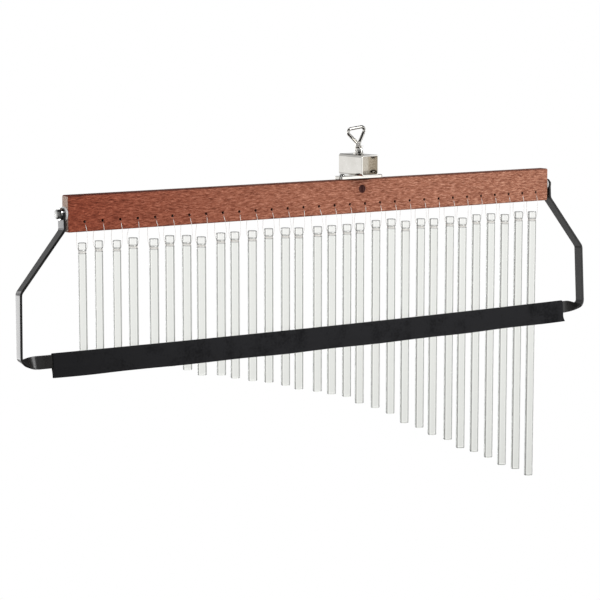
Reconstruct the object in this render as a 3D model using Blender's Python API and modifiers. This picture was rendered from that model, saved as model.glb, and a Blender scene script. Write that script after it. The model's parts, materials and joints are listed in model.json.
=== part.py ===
"""Glass bar chime: glass rods hung from a wooden bar, with a swinging damper and a stand clamp.

Metres, +Z up. The origin is the centre of the clamp's square socket. +X runs along the bar towards the
long rods, +Y points away from the player.
"""

from math import asin, atan2, cos, hypot, pi, radians, sin, sqrt

import bmesh
import bpy
from mathutils import Matrix, Vector

MM = 0.001

# General fits
GAP = 0.3 * MM  # left between pieces that rest on each other
BORE_CLEARANCE = 0.3 * MM  # radial, round a pin in its hole

# Wooden bar
ROD_COUNT = 30
ROD_PITCH = 20.0 * MM
BAR_END_MARGIN = 18.0 * MM  # from the outer holes to the ends
BAR_HEIGHT = 36.0 * MM
BAR_THICKNESS = 13.0 * MM
BAR_EDGE_ROUND = 1.2 * MM
HOLE_RISE = 10.0 * MM  # thread holes above the bar's lower edge
THREAD_HOLE_DIAMETER = 2.4 * MM

# Glass rods
ROD_DIAMETER = 9.5 * MM
SLIM_ROD_DIAMETER = 8.2 * MM
SLIM_RODS = 3  # at the short end
TURN_ROD = 17  # the lengths grow faster after this rod
TURN_ROD_LENGTH = 185.0 * MM
SHORT_STEP = 4.8 * MM  # from rod to rod before the turn
LONG_STEP = 9.1 * MM  # from rod to rod after it
ROD_DROP = 21.2 * MM  # from the thread hole to the rod's top, for a loop of middling length
ROD_END_ROUND = 1.0 * MM
HEAD_HEIGHT = 7.0 * MM
NECK_HEIGHT = 3.0 * MM
NECK_DEPTH = 0.8 * MM
# How far each rod hangs to the right of its hole, because the stiff thread keeps its bends
ROD_SHIFTS_MM = (
    0.5, -1.0, -0.5, -2.0, 2.0, 0.5, 0.5, -2.0, 1.5, -1.5,
    0.0, 0.5, 1.5, -1.5, 2.5, 1.0, 1.0, -2.0, -0.5, 0.0,
    -0.5, 0.5, -1.5, 1.0, -1.0, -1.0, 0.0, 0.0, 0.5, 0.5,
)

# How much lower each rod hangs than a middling one, because the loops were tied by hand
ROD_HANGS_MM = (
    0.0, -1.0, 0.0, -1.5, 1.0, -1.0, 0.0, 2.5, 0.0, 0.0,
    0.0, -1.0, -0.5, 0.5, 0.5, 0.5, 0.5, 0.5, -1.5, -2.0,
    1.5, 0.0, 1.0, 0.0, 2.5, 0.0, 0.0, 2.0, 0.0, 1.0,
)

# Hanging loops
THREAD_DIAMETER = 0.8 * MM
THREAD_BOW = 1.0 * MM  # how far a strand stands off the side of the rod's head
STRAND_TURN = radians(-32)  # where the front strand passes the head, from the rod's right side
NECK_TURN = radians(-12)  # where it reaches the neck

# Damper
STRIP_WIDTH = 11.5 * MM
BAR_STRIP_WIDTH = 13.2 * MM  # where it runs along the rods, past the twist
STRIP_THICKNESS = 2.5 * MM
STRIP_BEND_RADIUS = 7.0 * MM  # to the middle of the strip
CORNER_BEND_RADIUS = 6.0 * MM
TAB_DROP = 15.5 * MM  # from the pivot to the first bend
LEFT_ARM_REACH = 55.2 * MM  # outer face of the arm beyond the bar's end, at its bend
RIGHT_ARM_REACH = 51.0 * MM
LEFT_ARM_TURN = radians(9)  # how far the arm is out of square, its outer face to the rear
RIGHT_ARM_TURN = 0.0
LEFT_ARM_FLARE = 2.5 * MM  # how much further out the foot of the arm stands
RIGHT_ARM_FLARE = 0.0
ARM_BEND_DROP = 73.3 * MM  # from the pivot to the second bend
DAMPER_DROP = 141.3 * MM  # from the pivot to the straight bar's middle
CORNER_DROP = 140.7 * MM  # from the pivot to the corners, which the bar's weight leaves a little higher
LEFT_TWIST_LENGTH = 20.0 * MM  # along the bar, from the foot of the arm
RIGHT_TWIST_LENGTH = 25.0 * MM
CLOTH_OVERHANG = 22.5 * MM  # cloth beyond each end of the wooden bar
CLOTH_THICKNESS = 1.0 * MM
CLOTH_HEM = 9.5 * MM  # cloth below the steel strip
CLOTH_CONTACT_GAP = 1.2 * MM  # between the cloth and the rods

# Pivots; the right one is flatter, and hardly shows past its tab
PIVOT_BOLT_DIAMETER = 5.0 * MM
LEFT_HEAD_FLATS = 8.5 * MM
LEFT_HEAD_HEIGHT = 2.8 * MM
LEFT_WASHER_DIAMETER = 12.0 * MM
LEFT_WASHER_THICKNESS = 1.4 * MM
LEFT_SPACER_DIAMETER = 14.0 * MM
RIGHT_HEAD_FLATS = 7.0 * MM
RIGHT_HEAD_HEIGHT = 1.3 * MM
RIGHT_WASHER_DIAMETER = 9.0 * MM
RIGHT_WASHER_THICKNESS = 0.8 * MM
RIGHT_SPACER_DIAMETER = 11.4 * MM
SPACER_THICKNESS = 2.0 * MM
INSERT_DIAMETER = 8.0 * MM
INSERT_LENGTH = 14.0 * MM
PIVOT_BOLT_GRIP = 12.0 * MM  # bolt inside the insert

# Stand clamp
CLAMP_OFFSET = 46.0 * MM  # clamp to the right of the bar's middle, over the centre of weight
TUBE_SIDE = 22.0 * MM
TUBE_LENGTH = 41.0 * MM
TUBE_WALL = 1.6 * MM
TUBE_CORNER = 2.6 * MM
PLATE_LENGTH = 57.0 * MM
PLATE_THICKNESS = 3.4 * MM
PLATE_CORNER = 3.0 * MM
PLATE_INSET = 0.5 * MM  # plate narrower than the bar, on each side
PLATE_SCREW_SPACING = 43.0 * MM
PLATE_SCREW_DIAMETER = 3.0 * MM
PLATE_SCREW_LENGTH = 14.0 * MM
PLATE_SCREW_HEAD_DIAMETER = 6.6 * MM
PLATE_SCREW_HEAD_HEIGHT = 1.8 * MM
CENTRE_BOLT_DIAMETER = 5.0 * MM
CENTRE_BOLT_HEAD_DIAMETER = 9.0 * MM
CENTRE_BOLT_HEAD_HEIGHT = 3.0 * MM
BARREL_NUT_DIAMETER = 8.0 * MM
BARREL_NUT_RECESS = 1.0 * MM  # inside the bar's faces
BARREL_NUT_DEPTH = 10.5 * MM  # below the bar's top
NUT_FLATS = 7.6 * MM
NUT_HEIGHT = 4.6 * MM
NUT_FLANGE_DIAMETER = 11.5 * MM
NUT_FLANGE_HEIGHT = 1.0 * MM
CLAMP_SCREW_DIAMETER = 5.0 * MM
CLAMP_SCREW_REACH = 4.0 * MM  # tip below the tube's ceiling
COLLAR_DIAMETER = 7.8 * MM
COLLAR_HEIGHT = 3.2 * MM
LOOP_WIRE_DIAMETER = 3.2 * MM
LOOP_LEFT_REACH = 19.0 * MM  # corner of the bent wire from the screw's axis, before it is rounded
LOOP_RIGHT_REACH = 10.5 * MM
LOOP_LEFT_HEIGHT = 18.5 * MM  # the same corner above the collar
LOOP_RIGHT_HEIGHT = 22.0 * MM
LOOP_LEFT_FOOT = 2.4 * MM  # wire ends from the screw's axis
LOOP_RIGHT_FOOT = 1.0 * MM

TWIST_STEPS = 6
ROUND_SIDES = 16
ROD_SIDES = 10
THREAD_HOLE_SIDES = 6
SHARP_ANGLE = radians(40)  # edges bent more than this are shown sharp

# Levels and places worked out from the sizes
tube_bottom = -TUBE_SIDE / 2
plate_top = tube_bottom - GAP
plate_bottom = plate_top - PLATE_THICKNESS
bar_top = plate_bottom - GAP
bar_bottom = bar_top - BAR_HEIGHT
bar_middle = (bar_top + bar_bottom) / 2
bar_centre_x = -CLAMP_OFFSET
bar_length = (ROD_COUNT - 1) * ROD_PITCH + 2 * BAR_END_MARGIN
bar_half = bar_length / 2
bar_face = BAR_THICKNESS / 2
hole_level = bar_bottom + HOLE_RISE
first_hole_x = bar_centre_x - (ROD_COUNT - 1) * ROD_PITCH / 2
pivot_level = bar_middle
nut_base = TUBE_SIDE / 2 + GAP
nut_top = nut_base + NUT_HEIGHT
collar_base = nut_top + GAP
collar_top = collar_base + COLLAR_HEIGHT
socket_floor = -TUBE_SIDE / 2 + TUBE_WALL
socket_ceiling = TUBE_SIDE / 2 - TUBE_WALL
barrel_level = bar_top - BARREL_NUT_DEPTH
tab_offset = bar_half + GAP + SPACER_THICKNESS + GAP + STRIP_THICKNESS / 2


def start_scene():
    """An empty scene with one collection for the chime and one for the cutting shapes."""
    for old in list(bpy.data.objects):
        bpy.data.objects.remove(old, do_unlink=True)
    chime = bpy.data.collections.new("glass_bar_chime")
    cutters = bpy.data.collections.new("cutters")
    bpy.context.scene.collection.children.link(chime)
    bpy.context.scene.collection.children.link(cutters)
    return chime, cutters


CHIME, CUTTERS = start_scene()


def finish(name, colour, roughness, metallic=0.0, transmission=0.0):
    """A Principled material."""
    material = bpy.data.materials.new(name)
    material.use_nodes = True
    shader = material.node_tree.nodes["Principled BSDF"]
    shader.inputs["Base Color"].default_value = (*colour, 1.0)
    shader.inputs["Roughness"].default_value = roughness
    shader.inputs["Metallic"].default_value = metallic
    shader.inputs["Transmission Weight"].default_value = transmission
    return material


WOOD = finish("reddish_hardwood", (0.26, 0.085, 0.045), 0.45)
GLASS = finish("clear_glass", (0.90, 0.93, 0.90), 0.04, transmission=1.0)
BLACK_STEEL = finish("black_steel", (0.02, 0.02, 0.022), 0.4, metallic=0.6)
FELT = finish("black_felt", (0.012, 0.012, 0.013), 0.95)
ZINC = finish("zinc_plated_steel", (0.62, 0.62, 0.60), 0.3, metallic=1.0)
NICKEL = finish("bright_nickel", (0.80, 0.79, 0.75), 0.15, metallic=1.0)
WHITE_NYLON = finish("white_nylon", (0.80, 0.80, 0.78), 0.5)
BRASS = finish("brass", (0.66, 0.48, 0.20), 0.3, metallic=1.0)


def place(name, mesh, material, collection=None):
    """A new object of that name in the chime, or in another collection."""
    piece = bpy.data.objects.new(name, mesh)
    (collection or CHIME).objects.link(piece)
    if material:
        mesh.materials.append(material)
    return piece


def mesh_from(work, name):
    """A mesh from a bmesh, with smooth sides and sharp edges."""
    bmesh.ops.recalc_face_normals(work, faces=work.faces)
    mesh = bpy.data.meshes.new(name)
    work.to_mesh(mesh)
    work.free()
    mesh.shade_smooth()
    mesh.set_sharp_from_angle(angle=SHARP_ANGLE)
    return mesh


def hide_as_cutter(piece):
    """Marks a shape that only cuts or joins other pieces."""
    piece.hide_render = True
    piece.display_type = "WIRE"
    return piece


def boolean(piece, other, operation="DIFFERENCE"):
    """Cuts the piece by another shape, or joins the shape to it."""
    step = piece.modifiers.new(other.name, "BOOLEAN")
    step.operation = operation
    step.solver = "EXACT"
    step.object = other
    return step


def along(axis):
    """The turn that takes +Z to an axis given by its letter."""
    if axis == "X":
        return Matrix.Rotation(pi / 2, 4, "Y")
    if axis == "Y":
        return Matrix.Rotation(-pi / 2, 4, "X")
    return Matrix.Identity(4)


def add_cylinder(work, diameter, length, centre, axis="Z", sides=ROUND_SIDES):
    """A closed cylinder in a bmesh, centred on a point."""
    bmesh.ops.create_cone(
        work,
        cap_ends=True,
        segments=sides,
        radius1=diameter / 2,
        radius2=diameter / 2,
        depth=length,
        matrix=Matrix.Translation(centre) @ along(axis),
    )


def cylinder_cutter(name, diameter, length, centres, axis="Z", sides=ROUND_SIDES):
    """One cutter of like cylinders at several places that don't meet."""
    work = bmesh.new()
    for centre in centres:
        add_cylinder(work, diameter, length, centre, axis, sides)
    return hide_as_cutter(place(name, mesh_from(work, name), None, CUTTERS))


def turned(name, profile, material, centre, axis="Z", sides=ROUND_SIDES):
    """A profile of radius and height pairs, from top to bottom, turned about its axis by a Screw."""
    work = bmesh.new()
    points = [work.verts.new((radius, 0.0, height)) for radius, height in profile]
    for upper, lower in zip(points, points[1:]):
        work.edges.new((upper, lower))
    mesh = bpy.data.meshes.new(name)
    work.to_mesh(mesh)
    work.free()
    piece = place(name, mesh, material)
    piece.matrix_world = Matrix.Translation(centre) @ along(axis)
    screw = piece.modifiers.new("turn", "SCREW")
    screw.steps = sides
    screw.render_steps = sides
    screw.use_merge_vertices = True
    screw.merge_threshold = 0.01 * MM
    screw.use_smooth_shade = True
    return piece


def ring(name, outer, inner, thickness, material, centre, axis):
    """A washer or sleeve: a closed profile turned about its axis."""
    half = thickness / 2
    profile = [
        (inner / 2, half),
        (outer / 2, half),
        (outer / 2, -half),
        (inner / 2, -half),
        (inner / 2, half),
    ]
    return turned(name, profile, material, centre, axis)


def rounded_rectangle(width, height, corner, steps=4):
    """Outline points of a rectangle with round corners, anticlockwise."""
    points = []
    for quarter, (side_x, side_y) in enumerate(((1, 1), (-1, 1), (-1, -1), (1, -1))):
        middle = Vector((side_x * (width / 2 - corner), side_y * (height / 2 - corner)))
        for step in range(steps + 1):
            angle = (quarter + step / steps) * pi / 2
            points.append(middle + corner * Vector((cos(angle), sin(angle))))
    return points


def flat_outline(name, outlines, thickness, material, matrix):
    """Flat outlines, the first one outside and the others holes, made solid by an extruded 2D curve."""
    curve = bpy.data.curves.new(name, "CURVE")
    curve.dimensions = "2D"
    curve.fill_mode = "BOTH"
    curve.extrude = thickness / 2
    for outline in outlines:
        spline = curve.splines.new("POLY")
        spline.points.add(len(outline) - 1)
        for point, place_2d in zip(spline.points, outline):
            point.co = (place_2d[0], place_2d[1], 0.0, 1.0)
        spline.use_cyclic_u = True
    return solid_from_curve(name, curve, material, matrix)


def solid_from_curve(name, curve, material, matrix, collection=None):
    """A mesh object from a curve, with its caps welded, in place of the curve."""
    source = bpy.data.objects.new(name + "_curve", curve)
    bpy.context.scene.collection.objects.link(source)
    source.matrix_world = matrix
    bpy.context.view_layer.update()
    evaluated = source.evaluated_get(bpy.context.evaluated_depsgraph_get())
    mesh = bpy.data.meshes.new_from_object(evaluated)
    bpy.data.objects.remove(source, do_unlink=True)
    work = bmesh.new()
    work.from_mesh(mesh)
    bmesh.ops.remove_doubles(work, verts=work.verts, dist=0.001 * MM)
    bmesh.ops.recalc_face_normals(work, faces=work.faces)
    work.to_mesh(mesh)
    work.free()
    mesh.name = name
    mesh.materials.clear()
    mesh.shade_smooth()
    mesh.set_sharp_from_angle(angle=SHARP_ANGLE)
    piece = place(name, mesh, material, collection)
    piece.matrix_world = matrix
    return piece


def wire(name, points, diameter, material, matrix, resolution=0, collection=None):
    """A round wire through points, with its ends closed."""
    curve = bpy.data.curves.new(name, "CURVE")
    curve.dimensions = "3D"
    curve.bevel_depth = diameter / 2
    curve.bevel_resolution = resolution
    curve.use_fill_caps = True
    spline = curve.splines.new("POLY")
    spline.points.add(len(points) - 1)
    for point, where in zip(spline.points, points):
        point.co = (*where, 1.0)
    return solid_from_curve(name, curve, material, matrix, collection)


def rounded_path(corners, radii, steps=3):
    """A path through corner points, each corner replaced by an arc of its own radius."""
    path = [Vector(corners[0])]
    for before, corner, after, radius in zip(corners, corners[1:], corners[2:], radii):
        corner = Vector(corner)
        to_before = (Vector(before) - corner).normalized()
        to_after = (Vector(after) - corner).normalized()
        half_angle = to_before.angle(to_after) / 2
        bisector = (to_before + to_after).normalized()
        centre = corner + bisector * (radius / sin(half_angle))
        turn = pi - 2 * half_angle
        for step in range(steps + 1):
            angle = (step / steps - 0.5) * turn
            across = (to_after - to_before).normalized()
            path.append(centre + radius * (across * sin(angle) - bisector * cos(angle)))
    path.append(Vector(corners[-1]))
    return path


def hole_x(number):
    """Where a thread hole is along the bar. The holes are numbered from 1 at the short rods."""
    return first_hole_x + (number - 1) * ROD_PITCH


def make_bar():
    """The wooden bar, drilled for threads, pivots, plate screws and the clamp's bolt and barrel nut."""
    work = bmesh.new()
    bmesh.ops.create_cube(
        work,
        size=1.0,
        matrix=Matrix.Translation((bar_centre_x, 0.0, bar_middle))
        @ Matrix.Diagonal((bar_length, BAR_THICKNESS, BAR_HEIGHT, 1.0)),
    )
    bar = place("wooden_bar", mesh_from(work, "wooden_bar"), WOOD)
    edges = bar.modifiers.new("rounded_edges", "BEVEL")
    edges.width = BAR_EDGE_ROUND
    edges.segments = 2
    through = 2 * BAR_THICKNESS
    holes = [(hole_x(number), 0.0, hole_level) for number in range(1, ROD_COUNT + 1)]
    cutter = cylinder_cutter(
        "thread_holes", THREAD_HOLE_DIAMETER, through, holes, "Y", THREAD_HOLE_SIDES
    )
    boolean(bar, cutter)
    insert_bore = INSERT_DIAMETER + 2 * BORE_CLEARANCE
    insert_depth = INSERT_LENGTH + 2 * GAP
    ends = [
        (bar_centre_x + side * bar_half, 0.0, pivot_level) for side in (-1, 1)
    ]
    boolean(bar, cylinder_cutter("insert_bores", insert_bore, 2 * insert_depth, ends, "X"))
    screw_bore = PLATE_SCREW_DIAMETER + 2 * BORE_CLEARANCE
    screw_depth = PLATE_SCREW_LENGTH - PLATE_THICKNESS
    pilots = [(side * PLATE_SCREW_SPACING / 2, 0.0, bar_top) for side in (-1, 1)]
    boolean(bar, cylinder_cutter("screw_pilots", screw_bore, 2 * screw_depth, pilots, sides=12))
    barrel_bore = BARREL_NUT_DIAMETER + 2 * BORE_CLEARANCE
    boolean(bar, cylinder_cutter("barrel_bore", barrel_bore, through, [(0.0, 0.0, barrel_level)], "Y"))
    bolt_bore = CENTRE_BOLT_DIAMETER + 2 * BORE_CLEARANCE
    bolt_depth = BARREL_NUT_DEPTH + BARREL_NUT_DIAMETER
    boolean(bar, cylinder_cutter("bolt_bore", bolt_bore, 2 * bolt_depth, [(0.0, 0.0, bar_top)]))


def rod_diameter(number):
    """The first few rods at the short end are slimmer."""
    return SLIM_ROD_DIAMETER if number <= SLIM_RODS else ROD_DIAMETER


def rod_length(number):
    """Lengths grow by one step up to the turning rod and by a longer step after it."""
    steps = number - TURN_ROD
    return TURN_ROD_LENGTH + steps * (SHORT_STEP if steps < 0 else LONG_STEP)


def rod_shift(number):
    """How far a rod hangs to the right of its hole."""
    return ROD_SHIFTS_MM[(number - 1) % len(ROD_SHIFTS_MM)] * MM


def rod_drop(number):
    """How far a rod's top hangs below its hole."""
    return ROD_DROP + ROD_HANGS_MM[(number - 1) % len(ROD_HANGS_MM)] * MM


def rod_profile(diameter, length):
    """Radius and height from the rod's top pole down to its bottom pole, with a round groove as neck."""
    radius = diameter / 2
    neck = radius - NECK_DEPTH
    flat = radius - ROD_END_ROUND
    return [
        (0.0, 0.0),
        (flat, 0.0),
        (radius, -ROD_END_ROUND),
        (radius, -HEAD_HEIGHT),
        (neck, -HEAD_HEIGHT - NECK_HEIGHT / 4),
        (neck, -HEAD_HEIGHT - NECK_HEIGHT * 3 / 4),
        (radius, -HEAD_HEIGHT - NECK_HEIGHT),
        (radius, ROD_END_ROUND - length),
        (flat, -length),
        (0.0, -length),
    ]


def strand(diameter, shift, drop):
    """The front half of a hanging loop, from the middle of its hole down to the rod's neck.

    Points are relative to the hole's centre. The other half is this one turned half round the rod's own axis
    below the bar and the hole's centre in it, so both strands pass beside the head, one in front, one behind.
    """
    thread = THREAD_DIAMETER / 2
    face = bar_face + GAP + thread
    beside = diameter / 2 + thread + THREAD_BOW
    head_level = -drop - ROD_END_ROUND
    neck_level = -drop - HEAD_HEIGHT - NECK_HEIGHT / 2
    below_bar = -HOLE_RISE - 2 * thread - GAP
    at_neck = diameter / 2 - NECK_DEPTH + thread
    return [
        Vector((0.0, 0.0, 0.0)),
        Vector((0.0, -bar_face + thread, 0.0)),
        Vector((0.05 * shift, -face, -2 * thread)),
        Vector((0.3 * shift + thread, -face, below_bar / 2)),
        Vector((0.6 * shift + 3 * thread, -face, below_bar)),
        Vector((shift + beside * cos(STRAND_TURN), beside * sin(STRAND_TURN), head_level)),
        Vector((shift + at_neck * cos(NECK_TURN), at_neck * sin(NECK_TURN), neck_level)),
        Vector((shift, 0.0, neck_level - thread)),
    ]


def other_strand(points, shift):
    """The back strand: the front one turned half round the upright line that it hangs about."""
    turned_points = []
    for point in points:
        lean = shift * min(1.0, point.z / points[-1].z)
        turned_points.append(Vector((2 * lean - point.x, -point.y, point.z)))
    return turned_points


def make_rods():
    """Each glass rod with its nylon loop through the bar, joined because a loop is tied tight in the neck."""
    for number in range(1, ROD_COUNT + 1):
        diameter = rod_diameter(number)
        shift = rod_shift(number)
        drop = rod_drop(number)
        name = f"glass_rod_{number:02d}"
        hole = Vector((hole_x(number), 0.0, hole_level))
        rod = turned(
            name,
            rod_profile(diameter, rod_length(number)),
            GLASS,
            hole + Vector((shift, 0.0, -drop)),
            sides=ROD_SIDES,
        )
        front = strand(diameter, shift, drop)
        back = other_strand(front, shift)
        loop_points = list(reversed(front))[:-1] + back[1:]
        loop = wire(
            f"loop_{number:02d}",
            loop_points[:-1],
            THREAD_DIAMETER,
            None,
            Matrix.Translation(hole),
            collection=CUTTERS,
        )
        boolean(rod, hide_as_cutter(loop), "UNION")


def cloth_section():
    """The cloth's back face, top and bottom, measured from the middle of the strip."""
    back = STRIP_THICKNESS / 2 + GAP + CLOTH_THICKNESS
    top = BAR_STRIP_WIDTH / 2 + GAP + CLOTH_THICKNESS
    bottom = -BAR_STRIP_WIDTH / 2 - GAP - CLOTH_HEM
    return back, top, bottom


def damper_lean():
    """The damper's forward lean, at which the top of the cloth's back just clears the rods."""
    back, top, _ = cloth_section()
    drop = DAMPER_DROP - top + back
    clear = ROD_DIAMETER / 2 + CLOTH_CONTACT_GAP
    return asin(clear / hypot(drop, back)) + atan2(back, drop)


def strip_path(arm_offset, foot_offset, twist_length):
    """Middle line of one half of the damper strip, from the tab's round top to where the twist ends.

    It runs in the damper's own plane, down the tab, out and down the arm, round the corner and inwards.
    """
    tab_round = STRIP_WIDTH / 2
    corners = [
        (tab_offset, 0.0, 0.0),
        (tab_offset, 0.0, -TAB_DROP),
        (arm_offset, 0.0, -ARM_BEND_DROP),
        (foot_offset, 0.0, -CORNER_DROP),
        (foot_offset - CORNER_BEND_RADIUS, 0.0, -CORNER_DROP),
    ]
    tab = [Vector((tab_offset, 0.0, tab_round * (1 - step / 4) ** 0.5)) for step in range(4)]
    bends = rounded_path(corners, (STRIP_BEND_RADIUS, STRIP_BEND_RADIUS, CORNER_BEND_RADIUS))
    twist_end = Vector((foot_offset - twist_length, 0.0, -DAMPER_DROP))
    twist = [bends[-1].lerp(twist_end, step / TWIST_STEPS) for step in range(1, TWIST_STEPS + 1)]
    return tab + bends[:-1] + twist


def arm_share(level):
    """How much of the arm's turn a height takes: all of it between the arm's bend and its corner."""
    past_bend = (-level - ARM_BEND_DROP) / (2 * STRIP_BEND_RADIUS) + 0.5
    before_corner = (level + CORNER_DROP) / CORNER_BEND_RADIUS
    return max(0.0, min(1.0, past_bend, before_corner))


def strip_sections(arm_reach, arm_flare, arm_turn, twist_length):
    """Rectangles across half the strip: round at the tab, turned a quarter and widened by the twist."""
    thick = STRIP_THICKNESS / 2
    arm_offset = bar_half + arm_reach - thick
    foot_offset = arm_offset + arm_flare
    path = strip_path(arm_offset, foot_offset, twist_length)
    sections = []
    for index, middle in enumerate(path):
        before = path[max(index - 1, 0)]
        after = path[min(index + 1, len(path) - 1)]
        tangent = (after - before).normalized()
        half_width = STRIP_WIDTH / 2
        if middle.z > 0.0:
            half_width = max(sqrt(max(half_width**2 - middle.z**2, 0.0)), thick)
        twisted = 0.0
        if middle.z < -CORNER_DROP + CORNER_BEND_RADIUS:
            twisted = max(0.0, (foot_offset - middle.x) / twist_length)
        half_width += twisted * (BAR_STRIP_WIDTH - STRIP_WIDTH) / 2
        turn = -arm_turn * arm_share(middle.z) - twisted * pi / 2
        across = Matrix.Rotation(turn, 3, tangent) @ Vector((0.0, half_width, 0.0))
        through = tangent.cross(across).normalized() * thick
        front = middle - across
        rear = middle + across
        sections.append([rear + through, front + through, front - through, rear - through])
    return sections


def make_damper():
    """The damper: steel strip and felt, hung on an empty that sits on the pivot axis and leans forward."""
    pivot = bpy.data.objects.new("damper_pivot", None)
    CHIME.objects.link(pivot)
    lean = Matrix.Rotation(-damper_lean(), 4, "X")
    pivot.matrix_world = Matrix.Translation((bar_centre_x, 0.0, pivot_level)) @ lean
    bpy.context.view_layer.update()
    work = bmesh.new()
    right_half = strip_sections(RIGHT_ARM_REACH, RIGHT_ARM_FLARE, RIGHT_ARM_TURN, RIGHT_TWIST_LENGTH)
    left_half = strip_sections(LEFT_ARM_REACH, LEFT_ARM_FLARE, LEFT_ARM_TURN, LEFT_TWIST_LENGTH)
    left_half = [
        [Vector((-point.x, point.y, point.z)) for point in section]
        for section in reversed(left_half)
    ]
    sections = [[work.verts.new(point) for point in section] for section in right_half + left_half]
    for one, two in zip(sections, sections[1:]):
        for side in range(4):
            work.faces.new((one[side], one[(side + 1) % 4], two[(side + 1) % 4], two[side]))
    work.faces.new(sections[0])
    work.faces.new(sections[-1])
    strip = place("damper_bracket", mesh_from(work, "damper_bracket"), BLACK_STEEL)
    strip.parent = pivot
    bore = PIVOT_BOLT_DIAMETER + 2 * BORE_CLEARANCE
    tabs = [(bar_centre_x + side * tab_offset, 0.0, pivot_level) for side in (-1, 1)]
    boolean(strip, cylinder_cutter("pivot_bores", bore, 4 * STRIP_THICKNESS, tabs, "X"))
    make_cloth(pivot)


def make_cloth(pivot):
    """Felt folded over the straight bar: round over the top, two plies joined below the strip."""
    back, top, bottom = cloth_section()
    slot_half = STRIP_THICKNESS / 2 + GAP
    slot_tall = BAR_STRIP_WIDTH / 2 + GAP
    arch = [
        (back * cos(step * pi / 8), top - back + back * sin(step * pi / 8)) for step in range(9)
    ]
    outer = arch + [(-back, bottom), (back, bottom)]
    slot = [
        (slot_half, slot_tall),
        (-slot_half, slot_tall),
        (-slot_half, -slot_tall),
        (slot_half, -slot_tall),
    ]
    length = 2 * (bar_half + CLOTH_OVERHANG)
    upright = Matrix(((0, 0, 1, 0), (1, 0, 0, 0), (0, 1, 0, 0), (0, 0, 0, 1)))
    matrix = pivot.matrix_world @ Matrix.Translation((0.0, 0.0, -DAMPER_DROP)) @ upright
    cloth = flat_outline("damper_cloth", [outer, slot], length, FELT, matrix)
    world = cloth.matrix_world.copy()
    cloth.parent = pivot
    cloth.matrix_world = world


def hex_head(name, flats, height, shank_diameter, shank_length, material, matrix):
    """A hexagon head with its underside at the origin of the matrix and a round shank along -Z."""
    work = bmesh.new()
    add_cylinder(work, flats / cos(pi / 6), height, (0.0, 0.0, height / 2), sides=6)
    bolt = place(name, mesh_from(work, name), material)
    bolt.matrix_world = matrix
    joined = bmesh.new()
    overlap = height / 2
    add_cylinder(joined, shank_diameter, shank_length + overlap, (0.0, 0.0, (overlap - shank_length) / 2))
    shank = hide_as_cutter(place(name + "_shank", mesh_from(joined, name + "_shank"), None, CUTTERS))
    shank.matrix_world = matrix
    boolean(bolt, shank, "UNION")
    return bolt


def make_pivot(side, label, head_flats, head_height, washer, washer_thickness, spacer):
    """Bolt, washer, white spacer and threaded insert at one end of the bar, side -1 or 1."""
    spacer_middle = bar_half + GAP + SPACER_THICKNESS / 2
    washer_middle = tab_offset + STRIP_THICKNESS / 2 + GAP + washer_thickness / 2
    head_base = washer_middle + washer_thickness / 2 + GAP
    insert_middle = bar_half - GAP - INSERT_LENGTH / 2
    bore = PIVOT_BOLT_DIAMETER + 2 * BORE_CLEARANCE
    shank = head_base - bar_half + GAP + PIVOT_BOLT_GRIP
    rings = (
        ("spacer_washer", spacer, SPACER_THICKNESS, WHITE_NYLON, spacer_middle),
        ("pivot_washer", washer, washer_thickness, ZINC, washer_middle),
        ("pivot_insert", INSERT_DIAMETER, INSERT_LENGTH, BRASS, insert_middle),
    )
    for kind, outer, thickness, material, distance in rings:
        middle = (bar_centre_x + side * distance, 0.0, pivot_level)
        ring(f"{kind}_{label}", outer, bore, thickness, material, middle, "X")
    outward = Matrix.Rotation(side * pi / 2, 4, "Y")
    under_head = Matrix.Translation((bar_centre_x + side * head_base, 0.0, pivot_level))
    matrix = under_head @ outward
    hex_head(f"pivot_bolt_{label}", head_flats, head_height, PIVOT_BOLT_DIAMETER, shank, ZINC, matrix)


def make_pivots():
    """The pivots at both ends of the bar."""
    make_pivot(
        -1,
        "left",
        LEFT_HEAD_FLATS,
        LEFT_HEAD_HEIGHT,
        LEFT_WASHER_DIAMETER,
        LEFT_WASHER_THICKNESS,
        LEFT_SPACER_DIAMETER,
    )
    make_pivot(
        1,
        "right",
        RIGHT_HEAD_FLATS,
        RIGHT_HEAD_HEIGHT,
        RIGHT_WASHER_DIAMETER,
        RIGHT_WASHER_THICKNESS,
        RIGHT_SPACER_DIAMETER,
    )


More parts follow.
